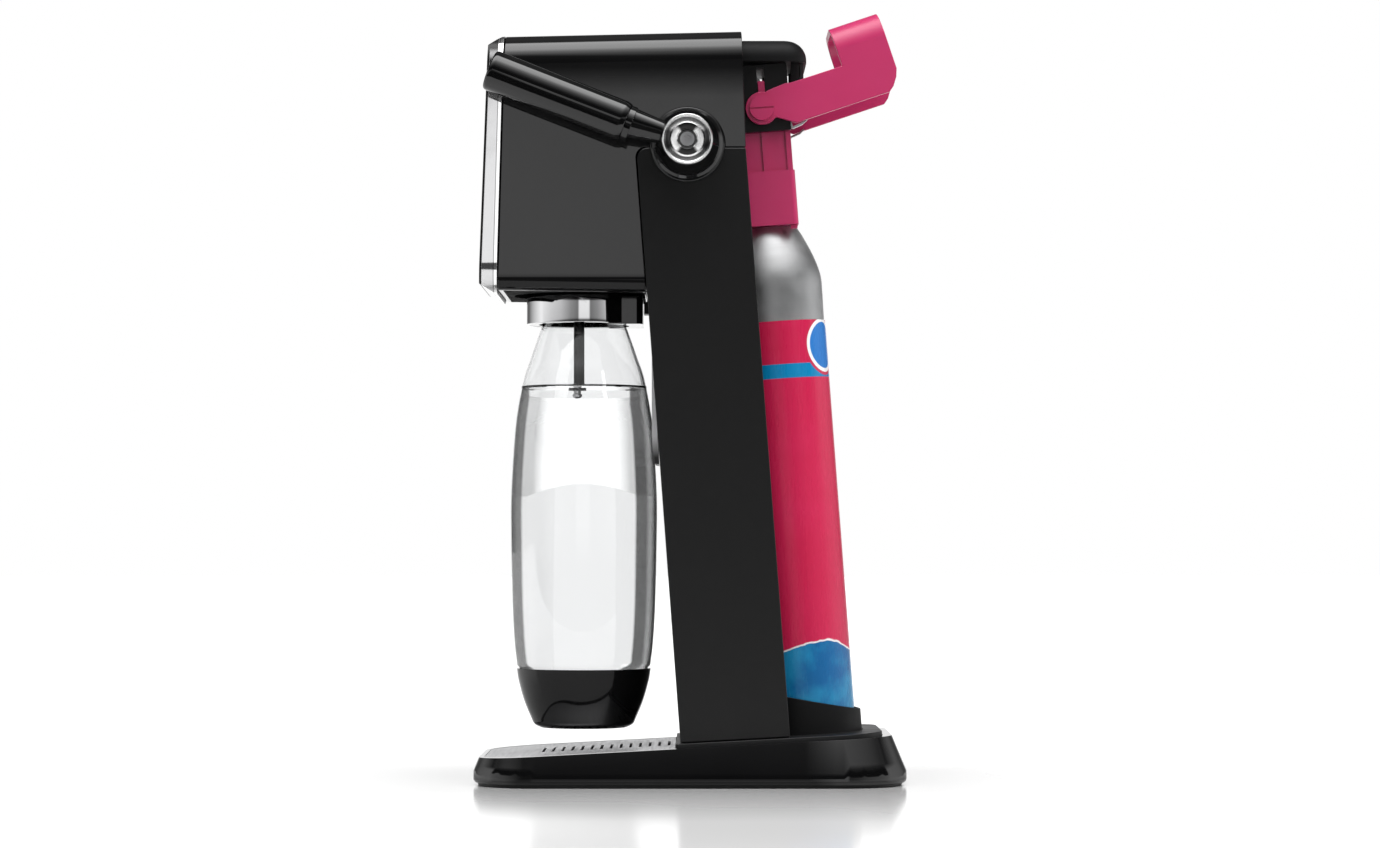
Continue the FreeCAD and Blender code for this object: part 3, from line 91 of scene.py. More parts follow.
class Nodes:
    """One node material. Each method adds a node and returns the socket that it gives."""

    def __init__(self, name):
        self.material = bpy.data.materials.new(name)
        self.material.use_nodes = True
        self.tree = self.material.node_tree
        self.shader = self.tree.nodes["Principled BSDF"]
        self.place = self.add("ShaderNodeTexCoord").outputs["Object"]

    def add(self, kind, inputs=None, **settings):
        node = self.tree.nodes.new(kind)
        for key, value in settings.items():
            setattr(node, key, value)
        for key, value in (inputs or {}).items():
            self.feed(node.inputs[key], value)
        return node

    def feed(self, socket, value):
        if isinstance(value, bpy.types.NodeSocket):
            self.tree.links.new(value, socket)
        else:
            socket.default_value = value

    def surface(self, **inputs):
        """Sets the shader's sockets, such as Base_Color, from values or other sockets."""
        for key, value in inputs.items():
            self.feed(self.shader.inputs[key.replace("_", " ")], value)
        return self.material

    def stretched(self, stretch, turn=(0, 0, 0), shift=(0, 0, 0)):
        """Object coordinates turned, moved and stretched along the three axes."""
        moved = self.add("ShaderNodeMapping", {"Vector": self.place, "Rotation": turn,
                                               "Location": shift})
        scaled = self.add("ShaderNodeMapping", {"Vector": moved.outputs[0], "Scale": stretch})
        return scaled.outputs[0]

    def noise(self, scale, detail=4.0, place=None, rough=0.55):
        """Cloudy noise with that many features to the metre."""
        node = self.add("ShaderNodeTexNoise", {"Vector": place or self.place, "Scale": scale,
                                               "Detail": detail, "Roughness": rough})
        return node.outputs["Fac"]

    def grains(self, scale, place=None):
        """Distance to the nearest of many scattered points."""
        node = self.add("ShaderNodeTexVoronoi", {"Vector": place or self.place,
                                                 "Scale": scale})
        return node.outputs["Distance"]

    def spread(self, source, low, high, dark, light):
        """Maps low..high of a source to dark..light, held at both ends."""
        node = self.add("ShaderNodeMapRange", {"Value": source, "From Min": low,
                                               "From Max": high, "To Min": dark,
                                               "To Max": light})
        return node.outputs["Result"]

    def maths(self, operation, first, second=0.0):
        node = self.add("ShaderNodeMath", {0: first, 1: second}, operation=operation)
        return node.outputs[0]

    def combined(self, operation, *sources):
        """The sum, the product or the largest of several values."""
        result = sources[0]
        for source in sources[1:]:
            result = self.maths(operation, result, source)
        return result

    def length(self, first, second):
        """Straight distance that two distances at right angles make."""
        squares = [self.maths("MULTIPLY", side, side) for side in (first, second)]
        return self.maths("SQRT", self.maths("ADD", *squares))

    def band(self, source, rise, fall):
        """One between a rise and a fall of the source, each a (start, stop) pair, and nothing
        outside them."""
        return self.maths("MULTIPLY", self.spread(source, *rise, 0.0, 1.0),
                          self.spread(source, *fall, 1.0, 0.0))

    def blended(self, source, first, second, low=0.3, high=0.7):
        """Goes from one colour to another as the source goes from low to high."""
        return self.mixed(self.spread(source, low, high, 0.0, 1.0), first, second)

    def mixed(self, share, first, second):
        """Blends two colours by a share from 0 to 1."""
        node = self.add("ShaderNodeMix", data_type="RGBA")
        self.feed(node.inputs["Factor"], share)
        self.feed(node.inputs[6], first)
        self.feed(node.inputs[7], second)
        return node.outputs[2]

    def grey(self, shade):
        """A grey colour from one value."""
        return self.add("ShaderNodeCombineColor", {0: shade, 1: shade, 2: shade}).outputs[0]

    def bumps(self, *layers):
        """Bump from several (height, strength, depth in metres) layers, one on the other."""
        normal = None
        for height, strength, depth in layers:
            node = self.add("ShaderNodeBump", {"Height": height, "Strength": strength,
                                               "Distance": depth})
            if normal is not None:
                self.feed(node.inputs["Normal"], normal)
            normal = node.outputs[0]
        return normal

    def split(self, vector):
        return self.add("ShaderNodeSeparateXYZ", {"Vector": vector}).outputs


def colour(red, green, blue):
    return (red, green, blue, 1.0)


# ---------------------------------------------------------------- materials

def polished(n, dark, light, smooth, dull, dust, level, peel):
    """Finishes a polished black plastic: clouds between two tones, a polish that goes from
    smooth to dull, a little dust and a faint orange peel."""
    tint = n.blended(n.noise(14.0, 3.0), dark, light, 0.35, 0.65)
    rough = n.maths("ADD", n.spread(n.noise(40.0, 5.0), 0.3, 0.75, smooth, dull),
                    n.spread(n.grains(700.0), 0.0, 0.07, dust, 0.0))
    return n.surface(Base_Color=tint, Roughness=rough, IOR=1.5, Specular_IOR_Level=level,
                     Normal=n.bumps((n.noise(260.0, 2.0), peel, 0.0001)))


def gloss_black(name, tone, roughness, level=0.5):
    """Polished black plastic of one tone."""
    return polished(Nodes(name), colour(tone, tone, tone * 1.06),
                    colour(tone * 1.3, tone * 1.3, tone * 1.36), smooth=roughness,
                    dull=roughness * 1.4, dust=0.12, level=level, peel=0.02)


def moulded(name, first, second, roughness, grain=0.25, level=0.5):
    """Moulded plastic with spark-eroded grain, faint flow marks and uneven sheen."""
    n = Nodes(name)
    flow = n.noise(11.0, 5.0, n.stretched((1.0, 0.6, 0.35)))
    sheen = n.noise(60.0, 4.0)
    grainy = n.noise(2600.0, 2.0)
    rough = n.spread(sheen, 0.3, 0.7, roughness * 0.88, min(1.0, roughness * 1.14))
    return n.surface(Base_Color=n.blended(flow, first, second), Roughness=rough, IOR=1.48,
                     Specular_IOR_Level=level, Normal=n.bumps((grainy, grain, 0.00006)))


def backrest_plastic():
    """The bottle rest's pale plastic, which turns dark at its lower end."""
    n = Nodes("rest_plastic")
    height = n.split(n.place)[2]
    cloud = n.noise(30.0, 4.0)
    pale = n.blended(cloud, colour(0.62, 0.62, 0.63), colour(0.72, 0.72, 0.73))
    dark_end, pale_start = 0.186, 0.198
    tint = n.blended(height, colour(0.02, 0.02, 0.02), pale, dark_end, pale_start)
    grainy = n.noise(1500.0, 2.0)
    return n.surface(Base_Color=tint, Roughness=n.spread(cloud, 0.3, 0.7, 0.25, 0.35),
                     Transmission_Weight=0.2, Normal=n.bumps((grainy, 0.1, 0.00005)))


def base_gloss():
    """The base's polished black, with painted shade and painted highlight in how much it reflects: its long sides
    are set to reflect little and stay dark, while the rounded ends and the rim reflect fully."""
    n = Nodes("base_gloss")
    depth, height = n.split(n.place)[1:]
    # Painted shade and highlight: the reflection level is set by position, low on the long sides and full at the
    # front end, the rear end and the rim.
    front_end = n.spread(depth, -0.104, -0.092, 1.0, 0.0)
    rear_end = n.spread(depth, 0.062, 0.082, 0.0, 1.0)
    rim = n.spread(height, 0.0035, 0.0060, 0.45, 0.0)
    long_sides_painted_shade = 0.12
    share = n.combined("MAXIMUM", front_end, rear_end, rim, long_sides_painted_shade)
    return polished(n, colour(0.0028, 0.0028, 0.003), colour(0.0036, 0.0036, 0.0038),
                    smooth=0.06, dull=0.09, dust=0.10, level=n.maths("MULTIPLY", share, 0.5),
                    peel=0.015)


def pink_plastic():
    """Coloured gloss plastic with depth in its colour."""
    n = Nodes("pink_plastic")
    flow = n.noise(16.0, 5.0, n.stretched((1.0, 0.5, 0.7)))
    tint = n.blended(flow, colour(0.44, 0.024, 0.105), colour(0.50, 0.031, 0.125))
    polish = n.noise(60.0, 5.0)
    rough = n.spread(polish, 0.3, 0.75, 0.28, 0.38)
    grainy = n.noise(1500.0, 2.0)
    return n.surface(Base_Color=tint, Roughness=rough, IOR=1.48,
                     Subsurface_Weight=0.06, Subsurface_Scale=0.002,
                     Normal=n.bumps((grainy, 0.12, 0.00005)))


def chrome(name, tone, roughness):
    """Bright plated metal with hairline rubs and faint smudges."""
    n = Nodes(name)
    smudge = n.noise(45.0, 4.0)
    hair = n.noise(300.0, 6.0, n.stretched((1.0, 0.05, 1.0), (0.7, 0.2, 0.1)))
    rough = n.maths("ADD", n.spread(smudge, 0.45, 0.75, roughness, roughness * 2.0),
                    n.spread(hair, 0.62, 0.72, 0.0, 0.05))
    tint = n.blended(smudge, colour(tone, tone, tone * 1.01),
                     colour(tone * 0.94, tone * 0.94, tone * 0.955))
    return n.surface(Base_Color=tint, Metallic=1.0, Roughness=rough,
                     Normal=n.bumps((hair, 0.02, 0.00002)))


def bezel_plating():
    """The front surround: plated sides, with black along its front edge and its sloping top corner, a near-white
    strip of painted highlight with a grey painted-shade groove line beside it near the head, and a black seam
    where it meets the head."""
    n = Nodes("bezel_plating")
    depth, height = n.split(n.place)[1:]
    back_lean, back_foot = 0.02642, -0.11656
    front_lean, front_foot = 0.03687, -0.13007
    back_edge = n.maths("ADD", n.maths("MULTIPLY", height, back_lean), back_foot)
    front_edge = n.maths("ADD", n.maths("MULTIPLY", height, front_lean), front_foot)
    from_back = n.maths("SUBTRACT", back_edge, depth)
    from_front = n.maths("SUBTRACT", depth, front_edge)
    smudge = n.noise(45.0, 4.0)
    plate_tone = n.blended(smudge, colour(0.60, 0.60, 0.605), colour(0.64, 0.64, 0.645))
    # Painted highlight: a near-white strip along the back edge, then a groove line of painted shade in grey.
    painted_highlight_strip = n.spread(from_back, 0.0020, 0.0023, 1.0, 0.0)
    tint = n.mixed(painted_highlight_strip, plate_tone, colour(0.96, 0.96, 0.96))
    painted_groove_shade = n.band(from_back, (0.0021, 0.0023), (0.0026, 0.0028))
    tint = n.mixed(painted_groove_shade, tint, colour(0.28, 0.28, 0.28))
    seam = n.spread(from_back, 0.0004, 0.0006, 1.0, 0.0)
    front = n.spread(from_front, 0.0012, 0.0015, 1.0, 0.0)
    corner = n.maths("MULTIPLY", n.spread(height, 0.4110, 0.4175, 0.0, 1.0),
                     n.spread(from_back, 0.0030, 0.0033, 0.0, 1.0))
    black = n.combined("MAXIMUM", seam, front, corner)
    tint = n.mixed(black, tint, colour(0.002, 0.002, 0.002))
    rough = n.spread(smudge, 0.45, 0.75, 0.07, 0.14)
    return n.surface(Base_Color=tint, Metallic=n.maths("SUBTRACT", 1.0, black),
                     Roughness=n.maths("MAXIMUM", rough, n.maths("MULTIPLY", black, 0.3)),
                     Specular_IOR_Level=0.25)


def head_gloss():
    """The head's polished black, with painted shade in how much it reflects: a dark band just under its rounded
    top edge, a dimmer foot and a fine dark line above the foot, all set by height."""
    n = Nodes("head_gloss")
    height = n.split(n.place)[2]
    # Painted shade: the reflection level is cut by height under the rounded top edge, along the foot and in a fine
    # line above the foot.
    painted_shade_under_edge = n.spread(height, 0.4135, 0.4065, 0.06, 0.10)
    below_it = n.spread(height, 0.4065, 0.3900, 0.10, 1.0)
    rounded_top = n.spread(height, 0.4125, 0.4140, 0.0, 1.0)
    upper = n.combined("MAXIMUM", painted_shade_under_edge, below_it, rounded_top)
    foot = n.spread(height, 0.2868, 0.2895, 0.45, 1.0)
    line = n.band(height, (0.2856, 0.2862), (0.2870, 0.2876))
    share = n.combined("MULTIPLY", upper, foot, n.maths("SUBTRACT", 1.0, line))
    return polished(n, colour(0.004, 0.004, 0.0042), colour(0.0055, 0.0055, 0.0057),
                    smooth=0.045, dull=0.065, dust=0.10, level=n.maths("MULTIPLY", share, 0.5),
                    peel=0.015)


def hub_plating():
    """The hub cap's plating, with turned rings in its polish. The bright and dark quarters that its dished rings
    reflect are painted into its colour as a painted reflection, and its middle recess is painted shade."""
    n = Nodes("hub_plating")
    from_hub = n.stretched((1, 1, 1), shift=(0, -HUB.y, -HUB.z))
    depth, height = n.split(from_hub)[1:]
    around = n.maths("ARCTAN2", height, depth)
    reach = n.length(depth, height)
    upright = n.maths("ABSOLUTE", n.maths("SINE", around))
    level = n.maths("ABSOLUTE", n.maths("COSINE", around))
    outer_ring = n.band(reach, (0.0091, 0.0094), (0.0122, 0.0126))
    inner_ring = n.band(reach, (0.0052, 0.0055), (0.0089, 0.0092))
    # Painted reflection: dark quarters on each dished ring. The recess gets painted shade. Both are set into the
    # base colour.
    painted_dark_sides = n.maths("MULTIPLY", outer_ring, n.spread(level, 0.82, 0.92, 0.0, 0.85))
    painted_dark_ends = n.maths("MULTIPLY", inner_ring, n.spread(upright, 0.70, 0.84, 0.0, 0.92))
    painted_recess_shade = n.spread(reach, 0.0052, 0.0056, 0.80, 0.0)
    brightest, darkest = 0.96, 0.03
    painted_darkening = n.combined("ADD", painted_dark_sides, painted_dark_ends, painted_recess_shade)
    shade = n.maths("MAXIMUM", n.maths("SUBTRACT", brightest, painted_darkening), darkest)
    rings = n.noise(2500.0, 2.0, n.stretched((1.0, 0.02, 0.02)))
    return n.surface(Base_Color=n.grey(shade), Metallic=1.0,
                     Roughness=n.spread(rings, 0.3, 0.7, 0.16, 0.24))


def brushed(name, tone, stretch, roughness=0.3):
    """Metal brushed in one direction: fine streaks in its height, colour and gloss."""
    n = Nodes(name)
    streaks = n.noise(700.0, 5.0, n.stretched(stretch), 0.7)
    cloud = n.noise(20.0, 3.0)
    tint = n.blended(streaks, colour(tone, tone, tone * 1.02),
                     colour(tone * 0.82, tone * 0.82, tone * 0.84))
    rough = n.maths("ADD", n.spread(streaks, 0.3, 0.7, roughness * 0.8, roughness * 1.3),
                    n.spread(cloud, 0.4, 0.7, 0.0, 0.06))
    return n.surface(Base_Color=tint, Metallic=1.0, Roughness=rough,
                     Normal=n.bumps((streaks, 0.18, 0.00004)))


def rubber():
    """Matt rubber with a powdery bloom."""
    n = Nodes("black_rubber")
    bloom = n.noise(70.0, 6.0)
    tint = n.blended(bloom, colour(0.012, 0.012, 0.013), colour(0.035, 0.035, 0.036), 0.45)
    return n.surface(Base_Color=tint, Roughness=n.spread(bloom, 0.3, 0.7, 0.6, 0.85),
                     Normal=n.bumps((n.noise(1800.0, 3.0), 0.3, 0.00008)))


def clear_plastic():
    """The bottle's wall: clear, with faint flow waves from blowing and a few scuffs."""
    n = Nodes("bottle_wall")
    waves = n.noise(30.0, 2.0, n.stretched((1.0, 1.0, 0.25)))
    scuffs = n.noise(260.0, 6.0, n.stretched((1.0, 1.0, 0.15)))
    rough = n.spread(scuffs, 0.64, 0.8, 0.0, 0.12)
    return n.surface(Base_Color=(0.970, 0.975, 0.978, 1.0), Transmission_Weight=1.0, IOR=1.46,
                     Roughness=rough, Normal=n.bumps((waves, 0.05, 0.0006)))


def water():
    """Still water with the slightest ripple, with painted shade in its colour where the surface turns away,
    standing in for the dark edges of a full bottle's walls. The front and the rear edge darken at different
    angles."""
    n = Nodes("still_water")
    facing = n.add("ShaderNodeLayerWeight", {"Blend": 0.5}).outputs["Facing"]
    rearward = n.spread(n.split(n.place)[1], BOTTLE_AXIS.y - MM, BOTTLE_AXIS.y + MM, 0.0, 1.0)
    # Painted shade: the colour darkens by facing angle towards the front and rear edges.
    front_edge = n.spread(facing, 0.190, 0.208, 0.96, 0.045)
    rear_edge = n.spread(facing, 0.126, 0.140, 0.96, 0.032)
    rear_edge = n.maths("ADD", rear_edge, n.spread(facing, 0.200, 0.225, 0.0, 0.13))
    clear = n.maths("ADD", n.maths("MULTIPLY", rear_edge, rearward),
                    n.maths("MULTIPLY", front_edge, n.maths("SUBTRACT", 1.0, rearward)))
    ripple = n.noise(55.0, 2.0)
    return n.surface(Base_Color=n.grey(clear), Transmission_Weight=1.0, IOR=1.333,
                     Roughness=0.0, Normal=n.bumps((ripple, 0.02, 0.0002)))


def cylinder_metal():
    """Drawn aluminium: rings from turning, blotches and small dents from handling."""
    n = Nodes("cylinder_metal")
    turn = (-LEAN_ANGLE, 0.0, 0.0)
    rings = n.noise(900.0, 4.0, n.stretched((0.02, 0.02, 1.0), turn), 0.7)
    blotch = n.noise(38.0, 6.0)
    dents = n.noise(120.0, 3.0)
    tint = n.blended(blotch, colour(0.40, 0.405, 0.41), colour(0.54, 0.545, 0.55))
    rough = n.maths("ADD", n.spread(blotch, 0.35, 0.7, 0.40, 0.56),
                    n.spread(rings, 0.4, 0.7, 0.0, 0.07))
    return n.surface(Base_Color=tint, Metallic=1.0, Roughness=rough,
                     Normal=n.bumps((rings, 0.25, 0.00005), (dents, 0.12, 0.0006)))


def label_film():
    """The cylinder's printed film: a pink field, a blue stripe, a blue wave at the foot and a
    plain disc on the side that faces back, all by height and by angle on the cylinder."""
    n = Nodes("label_film")
    local = n.add("ShaderNodeMapping", {"Vector": n.place, "Rotation": (-LEAN_ANGLE, 0, 0),
                                        "Location": LEANING.inverted().translation}).outputs[0]
    across, along, height = n.split(local)
    around = n.maths("ARCTAN2", along, across)
    pink = n.blended(n.noise(25.0, 4.0), colour(0.50, 0.012, 0.060),
                     colour(0.54, 0.017, 0.078))
    white = colour(0.80, 0.80, 0.80)

    stripe_low, stripe_high, soft = 0.2317, 0.2399, 0.0002
    stripe = n.band(height, (stripe_low - soft, stripe_low + soft),
                    (stripe_high - soft, stripe_high + soft))
    tint = n.mixed(stripe, pink, colour(0.002, 0.20, 0.42))

    shore_height, swell_height, ragged = 0.0735, 0.0035, 0.008
    waves_round = 3.0
    swell = n.maths("SINE", n.maths("MULTIPLY", around, waves_round))
    shore = n.combined("ADD", n.maths("MULTIPLY", swell, swell_height),
                       n.maths("MULTIPLY", n.noise(45.0, 3.0), ragged), shore_height)
    under = n.maths("SUBTRACT", shore, height)
    wave_blue = n.blended(n.noise(45.0, 7.0), colour(0.003, 0.11, 0.30),
                          colour(0.014, 0.22, 0.43), 0.42, 0.62)
    tint = n.blended(under, tint, wave_blue, 0.0, 0.0006)
    foam = n.band(under, (-0.0008, -0.0002), (0.0002, 0.0006))
    tint = n.mixed(foam, tint, white)

    disc_angle, disc_height, film_radius = math.radians(66.0), 0.2500, 0.0298
    side = n.maths("MULTIPLY", n.maths("SUBTRACT", around, disc_angle), film_radius)
    reach = n.length(side, n.maths("SUBTRACT", height, disc_height))
    edge = 0.15
    for radius, shade in ((17.4, colour(0.50, 0.02, 0.07)), (15.6, white),
                          (13.4, colour(0.012, 0.16, 0.50))):
        disc = n.spread(reach, (radius - edge) * MM, (radius + edge) * MM, 1.0, 0.0)
        tint = n.mixed(disc, tint, shade)

    scuffs = n.noise(240.0, 6.0, n.stretched((1.0, 1.0, 0.1)))
    rough = n.spread(scuffs, 0.4, 0.75, 0.22, 0.38)
    wrinkle = n.noise(50.0, 3.0, n.stretched((1.0, 1.0, 0.3)))
    return n.surface(Base_Color=tint, Roughness=rough, IOR=1.46, Specular_IOR_Level=0.3,
                     Normal=n.bumps((wrinkle, 0.08, 0.0005), (scuffs, 0.03, 0.0001)))


# ---------------------------------------------------------------- pieces

def new_piece(name, mesh, material, body, slot, *nodes, matrix=None):
    """Links a mesh as a piece that rides on a body and stands for CAD nodes."""
    piece = bpy.data.objects.new(name, mesh)
    bpy.context.scene.collection.objects.link(piece)
    if matrix is not None:
        mesh.transform(matrix)
    mesh.materials.clear()
    mesh.materials.append(material)
    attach(piece, body)
    if nodes:
        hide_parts(*nodes)
    return piece


def softened(profile, steps=5):
    """An outline of (radius, height, rounding) corners, in millimetres, with each corner
    turned into a short arc."""
    points = []
    count = len(profile)
    for index, (radius, height, rounding) in enumerate(profile):
        corner = Vector((radius, height))
        if rounding == 0:
            points.append(corner)
            continue
        before = Vector(profile[index - 1][:2]) - corner
        after = Vector(profile[(index + 1) % count][:2]) - corner
        reach = min(rounding, before.length * 0.49, after.length * 0.49)
        start = corner + before.normalized() * reach
        stop = corner + after.normalized() * reach
        for step in range(steps + 1):
            t = step / steps
            points.append(start * (1 - t) ** 2 + corner * 2 * t * (1 - t) + stop * t * t)
    return points


def through(points, per_span=6):
    """A smooth curve through (radius, height) points, as a list of vectors."""
    spots = [Vector(point) for point in points]
    padded = [spots[0] * 2 - spots[1]] + spots + [spots[-1] * 2 - spots[-2]]
    curve = []
    for a, b, c, d in zip(padded, padded[1:], padded[2:], padded[3:]):
        for step in range(per_span):
            t = step / per_span
            curve.append(0.5 * (2 * b + (c - a) * t + (2 * a - 5 * b + 4 * c - d) * t * t
                                + (3 * b - a - 3 * c + d) * t ** 3))
    curve.append(spots[-1])
    return curve


def turned(name, outline, start=0.0, sweep=360.0, steps=144, sharp=40.0):
    """A closed mesh turned about Z from a closed outline of (radius, height) points in
    millimetres, all the way round or through part of a turn that flat ends close."""
    whole = abs(sweep - 360.0) < 1e-6
    mesh_maker = bmesh.new()
    rings = []
    turns = steps if whole else steps + 1
    for step in range(turns):
        angle = math.radians(start + sweep * step / steps)
        ring = []
        for radius, height in outline:
            if radius < 1e-6 and rings:
                ring.append(rings[0][len(ring)])
                continue
            spot = Vector((radius * math.cos(angle), radius * math.sin(angle), height)) * MM
            ring.append(mesh_maker.verts.new(spot))
        rings.append(ring)
    pairs = list(zip(rings, rings[1:])) + ([(rings[-1], rings[0])] if whole else [])
    for near, far in pairs:
        for index in range(len(outline)):
            following = (index + 1) % len(outline)
            loop = [near[index], near[following], far[following], far[index]]
            unique = list(dict.fromkeys(loop))
            if len(unique) > 2:
                mesh_maker.faces.new(unique)
    if not whole:
        mesh_maker.faces.new(rings[0])
        mesh_maker.faces.new(list(reversed(rings[-1])))
    bmesh.ops.recalc_face_normals(mesh_maker, faces=mesh_maker.faces)
    mesh = bpy.data.meshes.new(name)
    mesh_maker.to_mesh(mesh)
    mesh_maker.free()
    mesh.shade_smooth()
    mesh.set_sharp_from_angle(angle=math.radians(sharp))
    return mesh


def finished(node, material, edge):
    """A copy of a CAD node whose sharp edges are broken by a small round, as a moulding's
    or a pressing's are."""
    maker = bmesh.new()
    maker.from_mesh(NODES[node].data)
    bmesh.ops.remove_doubles(maker, verts=maker.verts, dist=2e-6)
    bmesh.ops.dissolve_limit(maker, angle_limit=math.radians(0.3), verts=maker.verts,
                             edges=maker.edges)
    mesh = bpy.data.meshes.new(f"{node}_finished")
    maker.to_mesh(mesh)
    maker.free()
    mesh.shade_smooth()
    slot = [item["material_slot"] for item in frame["record"]["subparts"]
            if item["node"] == node][0]
    piece = new_piece(f"{node}_finished", mesh, material, BODY_OF[node], slot, node)
    bevel = piece.modifiers.new("broken_edges", "BEVEL")
    bevel.width = edge * MM
    bevel.segments = 3
    bevel.limit_method = "ANGLE"
    bevel.angle_limit = math.radians(28.0)
    bevel.use_clamp_overlap = True
    weighted = piece.modifiers.new("flat_faces", "WEIGHTED_NORMAL")
    weighted.mode = "FACE_AREA"
    weighted.weight = 80


def pivot_pins(looks):
    """The carriage's two pins, a little slimmer than the CAD pins, which fill their holes and
    touch them facet on facet when the carriage tilts."""
    cad_radius, play = 2.5, 0.12
    radius = cad_radius - play
    near, far, rounding = 26.0, 44.0, 0.4
    axis = Matrix.Translation((0, COLLAR_AXIS.y, COLLAR_AXIS.z)) @ ACROSS
    for side, start, stop in (("right", near, far), ("left", -far, -near)):
        outline = [(0.0, start, 0), (radius, start, rounding), (radius, stop, rounding),
                   (0.0, stop, 0)]
        pin = turned(f"pin_{side}", softened(outline), steps=64)
        new_piece(f"pivot_pin_{side}", pin, looks["steel"], "carriage", "steel",
                  "carriage_pins", matrix=axis)


def coated(node, material):
    """Gives a CAD node a material of its own."""
    mesh = NODES[node].data
    for index in range(len(mesh.materials)):
        mesh.materials[index] = material


# ---------------------------------------------------------------- the machine

# CAD nodes whose copy has its sharp edges broken: the look and the round, in millimetres.
FINISHED = {
    "base_shell": ("base", 0.5),
    "column_cover_right": ("column", 0.35),
    "column_cover_left": ("column", 0.35),
    "head_shell": ("head", 0.9),
    "front_bezel": ("bezel", 0.35),
    "front_panel": ("panel", 0.4),
    "rear_cap": ("matt", 0.5),
    "column_plinth": ("satin", 0.4),
    "cylinder_cup": ("matt", 0.4),
    "bottle_backrest": ("backrest", 0.5),
    "lever_boss": ("lever", 0.8),
    "lever_arm": ("lever", 0.5),
    "drip_tray": ("tray", 0.2),
    "quick_connect_handle": ("pink", 0.45),
    "cylinder_carrier": ("pink", 0.35),
    "handle_pins": ("pink", 0.35),
    "collar_core": ("collar", 0.4),
}

# CAD nodes that are shown as they are, or that a piece below stands for, by look.
COATED = {
    "column": ("column_front_wall",),
    "underside": ("head_underside",),
    "satin": ("valve_holder", "column_frame", "carriage_catch", "base_bottom_plate",
              "shaft_bushes", "nozzle_block"),
    "steel": ("base_screws", "lever_shaft", "lever_cam", "lever_return_spring", "lever_screw",
              "rocker", "rocker_pin", "plunger", "catch_springs", "carriage_pins",
              "nozzle_tip"),
    "brass": ("gas_socket", "relief_valve", "cylinder_valve", "valve_pin"),
    "rubber": ("rubber_feet", "bottle_seal", "gas_hose"),
}


def cad_pieces(looks):
    """The pieces that keep the shape of their CAD nodes."""
    for node, (look, edge) in FINISHED.items():
        finished(node, looks[look], edge)
    for look, nodes in COATED.items():
        for node in nodes:
            coated(node, looks[look])


def seam_lip(looks):
    """A lip that closes the seam between the head and the column, behind the lever's boss."""
    maker = bmesh.new()
    bmesh.ops.create_cube(maker, size=1.0)
    low = Vector((50.0, 10.0, 358.0)) * MM
    high = Vector((54.0, 31.0, 364.5)) * MM
    bmesh.ops.scale(maker, vec=high - low, verts=maker.verts)
    bmesh.ops.translate(maker, vec=(low + high) / 2, verts=maker.verts)
    bmesh.ops.bevel(maker, geom=maker.edges[:], offset=0.3 * MM, segments=2, profile=0.7,
                    affect="EDGES")
    mesh = bpy.data.meshes.new("seam_lip")
    maker.to_mesh(mesh)
    maker.free()
    mesh.shade_smooth()
    mesh.set_sharp_from_angle(angle=math.radians(35.0))
    new_piece("seam_lip", mesh, looks["satin"], "machine", "satin_black")


def lever_pieces(looks):
    """The grip on the lever's arm and the plated cap on its hub."""
    radius, length = 11.6, 82.6
    bore, bore_end = 5.0, 69.0
    grip = turned("grip", softened([(bore, 0.0, 0), (radius - 0.9, 0.0, 0.8),
                                    (radius, 3.0, 1.0), (radius, length, 2.6),
                                    (0.0, length, 0), (0.0, bore_end, 0),
                                    (bore, bore_end, 0)]))
    new_piece("grip_sleeve", grip, looks["lever"], "lever", "gloss_black", "lever_grip",
              matrix=GRIP)
    back, face, rim, hole = 86.0, 89.0, 14.2, 5.3
    cap = turned("hub_cap", softened([(hole, back, 0), (rim, back, 0), (rim, face, 0.5),
                                      (rim - 1.1, face, 0.25), (rim - 1.6, face - 1.2, 0.2),
                                      (9.9, face - 1.6, 0.2), (9.3, face - 0.2, 0.3),
                                      (hole + 0.4, face - 0.2, 0.3), (hole, face - 0.6, 0)]),
                 steps=128)
    hub_axis = Matrix.Translation((0, HUB.y, HUB.z)) @ ACROSS
    new_piece("hub_cap_plated", cap, looks["hub"], "lever", "chrome", "lever_cap",
              matrix=hub_axis)


# The bottle's outlines as (radius, height) points from the top down, in millimetres, and
# inside its foot from the floor up. Its axis stands upright at rest.
BOTTLE_OUTLINE = [(17.2, 281.0), (18.2, 276.0), (21.0, 269.0), (24.8, 261.6), (27.3, 254.9),
                  (31.3, 243.3), (35.1, 231.7), (39.3, 208.5), (41.2, 185.0), (42.3, 162.0),
                  (42.2, 139.0), (41.5, 104.1), (40.3, 80.9), (38.7, 66.4)]
BOTTLE_FOOT = [(37.0, 64.9), (36.0, 57.9), (33.0, 46.6), (29.0, 37.6), (24.0, 33.2)]
BOTTLE_INNER_FOOT = [(23.4, 34.8), (27.8, 38.4), (31.8, 46.8), (34.7, 58.0), (35.9, 65.0)]
BOTTLE_TOP = 292.2
BOTTLE_FLOOR = 33.2
BOTTLE_FLOOR_THICKNESS = 1.4
BOTTLE_WALL = 1.2
WATER_LEVEL = 226.4


def bottle_inside():
    """The inner outline of the bottle from its floor up to its neck."""
    foot = through(BOTTLE_INNER_FOOT)
    side = [(radius - BOTTLE_WALL, height) for radius, height in reversed(BOTTLE_OUTLINE)]
    return foot + through(side)


